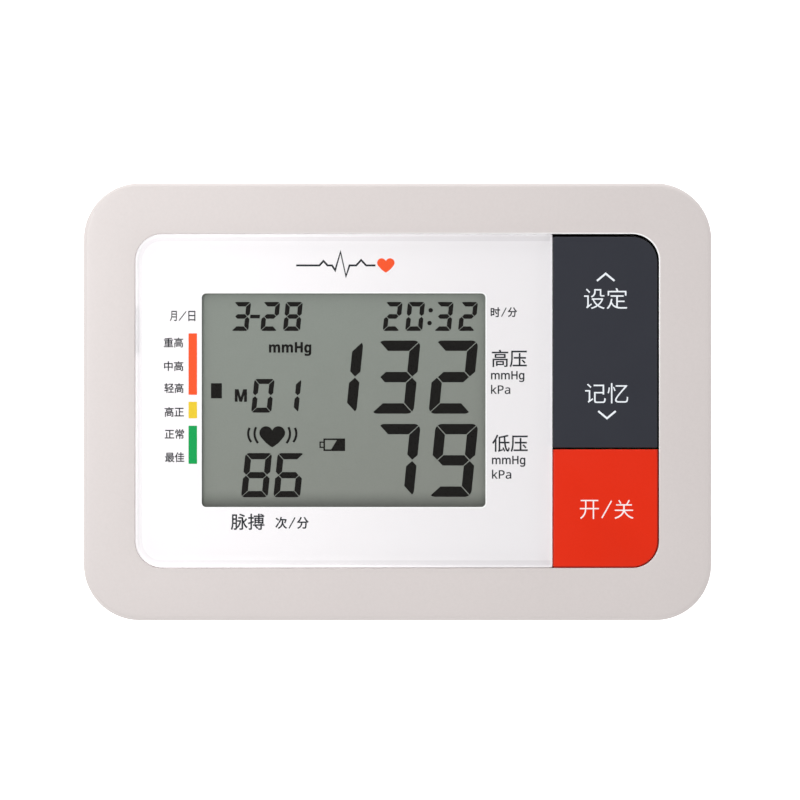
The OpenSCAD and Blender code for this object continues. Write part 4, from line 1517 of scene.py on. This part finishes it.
@dataclass
class Panel:
    """The clear lens, its white print and the marks on the print.

    Attributes:
        sides: the lens's left, low, right and high sides.
        corner: the radius of its left corners.
        inset: how far the print lies inside the lens.
        window: the printed window's left, low, right and high sides.
        marks_z: the height of the marks.
    """

    sides: Sides = (-58.42, -36.88, 34.55, 37.34)
    corner: float = 5.9
    inset: float = 1.5
    window: Sides = (-43.65, -23.47, 19.62, 24.16)
    marks_z: Span = (40.3, 40.315)

    def build(self) -> None:
        """Makes the lens, print and marks."""
        self.lens()
        self.paint()
        self.words()
        self.bars()
        self.trace()

    def lens(self) -> None:
        """Makes the clear lens with its rounded upper edge."""
        bm = bmesh.new()
        slab(bm, rounded(*self.sides, [self.corner, 0.4, 0.4, self.corner], 14), 40.34, 42.3)
        piece = to_object("panel_lens", bm)
        bevel = piece.modifiers.new("eased", "BEVEL")
        bevel.width = 0.55 * MM
        bevel.segments = 5
        bevel.limit_method = "WEIGHT"
        bevel.harden_normals = True
        weights = piece.data.attributes.new("bevel_weight_edge", "FLOAT", "EDGE")
        heights = [v.co.z for v in piece.data.vertices]
        for edge in piece.data.edges:
            high = all(heights[v] > 42.2 * MM for v in edge.vertices)
            weights.data[edge.index].value = 1.0 if high else 0.0
        settle(piece, Body.CASE, LENS, ["display_lens"])
        left = self.sides[0]
        gate = rounded(left - 0.05, 11.0, left + 0.4, 21.0, [0.05, 0.2, 0.2, 0.05], 3)
        flat_piece("lens_gate", Body.CASE, LENS, (40.5, 41.9), [gate])

    def paint(self) -> None:
        """Makes the white print, the border round it and a painted highlight line round its window."""
        left, low, right, high = self.sides
        i, r = self.inset, self.corner - self.inset
        x0, y0, x1, y1 = self.window
        rim = rounded(left - 0.05, low - 0.05, right, high + 0.05, [self.corner, 0.4, 0.4, self.corner], 14)
        sheet = rounded(left + i, low + i, right - 0.05, high - i, [r, 0.3, 0.3, r])
        hole = rounded(x0, y0, x1, y1, [1.0] * 4)
        # The ring round the window's edge is a painted highlight.
        line = rounded(x0 - 0.3, y0 - 0.3, x1 + 0.3, y1 + 0.3, [1.3] * 4)
        for name, finish, outlines, z, nodes in (
            ("lens_border", FOAM, [rim, sheet], (40.16, 40.29), []),
            ("panel_print", PRINT, [sheet, hole], (40.15, 40.3), ["lens_print"]),
            ("window_line", WINDOW_HIGHLIGHT, [line, hole], self.marks_z, []),
        ):
            bm = bmesh.new()
            take(bm, plate_mesh(outlines, *z))
            weld(bm)
            settle(to_object(name, bm), Body.CASE, finish, nodes)

    def words(self) -> None:
        """Prints the labels beside the window."""
        lines = [
            Pair("月日", -47.92, 19.12, 5.7, 2.3, 0.03, each=0.275, lean=0.14),
            Pair("时分", 23.72, 19.97, 5.9, 2.2, 0.045),
            Lettering("高压", 24.95, 9.65, 7.8, 3.9, 0.035),
            Lettering("mmHg", 24.57, 5.62, 7.45, 2.45, 0.05),
            Lettering("kPa", 23.0, 2.75, 4.3, 2.05, 0.02),
            Lettering("低压", 25.08, -9.28, 7.95, 3.85, 0.035),
            Lettering("mmHg", 24.78, -13.28, 7.45, 2.45, 0.05),
            Lettering("kPa", 23.22, -16.17, 4.3, 2.05, 0.02),
            Lettering("脉搏", -33.42, -26.78, 7.5, 3.65, 0.04),
            Pair("次分", -23.52, -27.02, 7.45, 2.7, 0.055),
        ]
        levels = ("重高", "中高", "轻高", "高正", "正常", "最佳")
        heights = (13.2, 7.95, 3.05, -2.27, -7.2, -12.38)
        lines += [
            Lettering(text, -49.95 + 0.26 * i / 5, y, 4.3, 2.2, 0.035)
            for i, (text, y) in enumerate(zip(levels, heights))
        ]
        flat_piece("panel_words", Body.CASE, GREY_INK, self.marks_z, words=lines)

    def bars(self) -> None:
        """Prints the three bars of the level scale."""
        spans = (
            ("level_bar_high", HIGH_INK, 1.55, 15.25),
            ("level_bar_middle", MIDDLE_INK, -3.7, 0.0),
            ("level_bar_low", LOW_INK, -13.85, -5.35),
        )
        for name, ink, low, high in spans:
            bar = rounded(-46.6, low, -44.7, high, [0.1] * 4, 2)
            flat_piece(name, Body.CASE, ink, self.marks_z, [bar])

    def trace(self) -> None:
        """Prints a plain pulse trace that ends in a small heart, above the window."""
        y = 30.4
        path = [(-22.6, y), (-17.4, y), (-16.5, y + 1.0), (-15.6, y), (-14.6, y), (-13.9, y - 1.1),
                (-12.7, y + 3.0), (-11.5, y - 2.4), (-10.7, y), (-9.2, y), (-8.1, y + 1.2), (-7.0, y),
                (-4.9, y)]
        flat_piece("pulse_trace", Body.CASE, GREY_INK, self.marks_z, stroke_outline(path, 0.42))
        flat_piece("pulse_heart", Body.CASE, HIGH_INK, self.marks_z, [heart(-2.6, y, 3.9, 3.2)])


@dataclass
class Display:
    """The display film and the figures that it shows.

    Attributes:
        film: the film's sides: left, low, right, high.
        film_z: its underside and top.
        figure_z: the underside and top of the figures.
    """

    film: Sides = (-45.0, -24.95, 21.0, 25.55)
    film_z: Span = (38.4, 39.2)
    figure_z: Span = (39.2, 39.23)

    def build(self) -> None:
        """Makes the film and every figure on it."""
        sheet = rounded(*self.film, [2.0] * 4, 6)
        flat_piece("display_film", Body.CASE, FILM, self.film_z, [sheet], replaces=["lcd_polariser"])
        words = [
            Lettering("mmHg", -23.95, 11.76, 9.45, 3.1, 0.05, Face.BOLD),
            Lettering("M", -34.93, 1.4, 2.7, 2.8, 0.07, Face.BOLD),
        ]
        outlines = self._figures() + self._signs()
        flat_piece("display_figures", Body.CASE, FIGURE, self.figure_z, outlines, words)

    def _figures(self) -> list[Outline]:
        """Draws the seven-segment figures: date, time, pressures, memory number and pulse.

        Returns:
            The outlines of their segments.
        """
        rows = (
            ([("3", -37.1), ("2", -30.6), ("8", -25.55)], 15.8, 3.8, 6.45, 1.0, 0.13),
            ([("2", -3.3), ("0", 1.7), ("3", 8.1), ("2", 13.5)], 15.8, 3.8, 6.45, 1.0, 0.13),
            ([("1", -18.7), ("3", -5.95), ("2", 6.9)], -2.65, 9.5, 16.3, 2.3, 0.2),
            ([("7", -5.95), ("9", 6.9)], -21.2, 9.5, 16.25, 2.3, 0.2),
            ([("0", -32.65), ("1", -26.65)], -2.42, 4.5, 7.5, 1.1, 0.14),
            ([("8", -34.9), ("6", -27.7)], -21.3, 5.95, 9.85, 1.38, 0.15),
        )
        made: list[Outline] = []
        for marks, y, width, height, stroke, gap in rows:
            for lit, x in marks:
                made += Digit(lit, x, y, width, height, stroke, gap).outlines()
        return made

    def _signs(self) -> list[Outline]:
        """Draws the dash, colon, level block, heart with its beats and cell sign.

        Returns:
            Their outlines.
        """
        made: list[Outline] = [
            [(-32.9, 18.6), (-30.75, 18.6), (-30.65, 19.4), (-32.8, 19.4)],
            [(-41.6, 0.76), (-39.17, 0.76), (-39.17, 4.13), (-41.6, 4.13)],
            arc(7.4, 20.4, 0.5, 0.0, 20, 342.0),
            arc(7.15, 17.55, 0.5, 0.0, 20, 342.0),
            heart(-27.93, -7.8, 5.75, 4.7),
        ]
        for side, reach, radius in ((-1, 3.95, 3.2), (-1, 5.37, 2.85), (1, 3.95, 3.2), (1, 5.37, 2.85)):
            path = arc(0.0, 0.0, radius, -41.0, 10, 68.0)
            beat = [(-27.93 + side * (reach - radius + px), -7.12 + py) for px, py in path]
            made += stroke_outline(beat, 0.5)
        x0, y0, x1, y1 = -16.52, -10.98, -11.68, -8.19
        t = 0.35
        made += [
            [(x0, y0), (x1, y0), (x1, y0 + t), (x0, y0 + t)],
            [(x0, y1 - t), (x1, y1 - t), (x1, y1), (x0, y1)],
            [(x0, y0 + t), (x0 + t, y0 + t), (x0 + t, y1 - t), (x0, y1 - t)],
            [(-14.8, y0 + t), (x1, y0 + t), (x1, y1 - t), (-13.5, y1 - t)],
            [(x0 - 0.88, -10.3), (x0, -10.3), (x0, -10.02), (x0 - 0.88, -10.02)],
            [(x0 - 0.88, -9.15), (x0, -9.15), (x0, -8.87), (x0 - 0.88, -8.87)],
            [(x0 - 0.88, -10.02), (x0 - 0.6, -10.02), (x0 - 0.6, -9.15), (x0 - 0.88, -9.15)],
        ]
        return made


@dataclass
class Keys:
    """The dark rocker and the red power key, with their printed marks.

    Attributes:
        top: the height of their tops.
        ink: how thick the marks are.
    """

    top: float = 41.8
    ink: float = 0.015

    def build(self) -> None:
        """Makes both keys and their marks."""
        settle(refined("mode_rocker", "rocker_key", 0.3), Body.ROCKER, DARK_KEY, ["mode_rocker"])
        settle(refined("power_key", "power_button", 0.3), Body.POWER, RED_KEY, ["power_key"])
        skirt = rounded(34.78, -36.97, 58.14, -10.6, [0.3, 5.9, 0.3, 0.3], 14)
        flat_piece("power_button_skirt", Body.POWER, RED_KEY, (40.2, 41.15), [skirt])
        z = (self.top, self.top + self.ink)
        arrows: list[Outline] = []
        for x, y, rise in ((46.42, 26.95, 1.62), (46.7, -2.08, -1.62)):
            arrows += stroke_outline([(x - 1.95, y), (x, y + rise), (x + 1.95, y)], 0.42)
        words = [
            Lettering("设定", 46.42, 23.0, 9.65, 4.65, -0.02),
            Lettering("记忆", 46.63, 1.9, 9.6, 4.5, -0.02),
        ]
        flat_piece("rocker_marks", Body.ROCKER, PALE_INK, z, arrows, words)
        switch = Pair("开关", 46.64, -24.0, 11.95, 4.25, -0.03)
        flat_piece("power_marks", Body.POWER, WARM_INK, z, words=[switch])


# --- inside


@dataclass
class Insides:
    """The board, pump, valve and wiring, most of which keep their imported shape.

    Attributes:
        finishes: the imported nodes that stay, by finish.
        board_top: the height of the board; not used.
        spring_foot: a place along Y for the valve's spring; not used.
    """

    finishes: Mapping[Finish, str] = field(default_factory=lambda: INNER_FINISHES)
    board_top: float = 31.6
    spring_foot: float = -8.0

    def build(self, nodes: Mapping[str, bpy.types.Object]) -> None:
        """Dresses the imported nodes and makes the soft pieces.

        Args:
            nodes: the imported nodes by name.
        """
        for finish, names in self.finishes.items():
            for name in names.split():
                nodes[name].data.materials.clear()
                nodes[name].data.materials.append(finish.material())
                log.info("%s: %s", name, finish.name)
        domes = (
            ("power_dome", "power_key_dome", "power_key_press", 0.75),
            ("set_dome", "set_key_dome", "mode_rocker_tilt", 0.86),
            ("memory_dome", "memory_key_dome", "mode_rocker_tilt", 0.86),
        )
        for node, name, joint, keep in domes:
            dome = settle(refined(node, name), Body.CASE, SILICONE, [node])
            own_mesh(dome)
        spring = settle(refined("valve_spring", "plunger_spring"), Body.CASE, GROUND, ["valve_spring"])
        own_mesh(spring)


# --- the studio


@dataclass
class Studio:
    """A pale floor, soft light and the camera.

    Attributes:
        distance: how far the camera is from the face, in metres.
        view_width: the width that it sees at the face, in metres.
        aim: the point in the middle of its view.
    """

    distance: float = 6.0
    view_width: float = 0.17834
    aim: Triple = (0.00056, 0.00039, 0.042)

    def build(self) -> None:
        """Sets up everything that isn't the object."""
        self.camera()
        self.floor()
        self.world()
        self.lamp("rear_softbox", (-0.1, 0.9, 0.2), 0.4, 1.6)
        self.lamp("left_softbox", (-0.165, 0.06, 0.37), 0.15, 0.53)

    def camera(self) -> None:
        """Makes the camera, which looks straight down at the face."""
        eye = bpy.data.cameras.new("camera")
        eye.sensor_width = 36.0
        eye.lens = 36.0 * self.distance / self.view_width
        eye.clip_start = 0.05
        eye.clip_end = 50.0
        holder = bpy.data.objects.new("camera", eye)
        holder.location = Vector(self.aim) + Vector((0, 0, self.distance))
        bpy.context.scene.collection.objects.link(holder)
        bpy.context.scene.camera = holder

    def floor(self) -> None:
        """Makes the floor: it glows, more so under the object, and can't be seen from below."""
        bm = bmesh.new()
        bmesh.ops.create_grid(bm, x_segments=1, y_segments=1, size=6.0)
        piece = to_object("floor", bm)
        material = bpy.data.materials.new("floor_paper")
        material.use_nodes = True
        g = Graph(material.node_tree)
        seen = g.node("ShaderNodeLightPath", outlet="Is Camera Ray")
        place = g.place()
        under = (1.0 - (g.along(place, 0) * 1000.0).size().ramp(60.0, 68.0)) * (
            1.0 - (g.along(place, 1) * 1000.0).size().ramp(38.0, 46.0)
        )
        glow = seen * 0.8 + 0.3 + (1.0 - seen) * under * 0.13
        values: Values = {"Base Color": (0.9, 0.9, 0.9), "Roughness": 0.9, "Specular IOR Level": 0.0}
        values |= {"Emission Color": g.shaded((1.0, 1.0, 1.0), glow), "Emission Strength": 1.0}
        back = g.node("ShaderNodeNewGeometry", outlet="Backfacing")
        clear = g.node("ShaderNodeBsdfTransparent")
        g.show(g.node("ShaderNodeMixShader", None, {0: back, 1: g.surface(values), 2: clear}))
        piece.data.materials.append(material)

    def world(self) -> None:
        """Makes a white room with a dimmer ceiling straight above."""
        world = bpy.data.worlds.new("studio")
        bpy.context.scene.world = world
        world.use_nodes = True
        g = Graph(world.node_tree)
        rise = g.along(g.node("ShaderNodeTexCoord", outlet="Generated"), 2)
        level = (1.69 - rise.size() * 1.02) * (1.0 - rise.ramp(0.86, 0.985) * 0.55)
        level = level * (1.0 - (rise * -1.0).ramp(0.02, 0.5) * 0.35)
        g.show(g.node("ShaderNodeBackground", None, {"Strength": level}), "ShaderNodeOutputWorld")

    def lamp(self, name: str, place: Sequence[float], size: float, power: float) -> None:
        """Hangs a square softbox that faces the object.

        Args:
            name: its name.
            place: where it hangs, in metres.
            size: its side, in metres.
            power: its power, in watts.
        """
        light = bpy.data.lights.new(name, "AREA")
        light.size = size
        light.energy = power
        holder = bpy.data.objects.new(name, light)
        holder.location = place
        holder.rotation_euler = (Vector(self.aim) - Vector(place)).to_track_quat("-Z", "Y").to_euler()
        bpy.context.scene.collection.objects.link(holder)


def main() -> None:
    """Builds the monitor and its studio."""
    logging.basicConfig(level=logging.INFO, format="%(message)s")
    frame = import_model()
    bpy.context.scene.view_settings.view_transform = "Standard"
    Studio().build()
    shell = FrontShell()
    shell.build()
    shell.posts()
    Underside().build()
    Panel().build()
    Display().build()
    Keys().build()
    Insides().build(frame["nodes"])


if __name__ == "__main__":
    main()
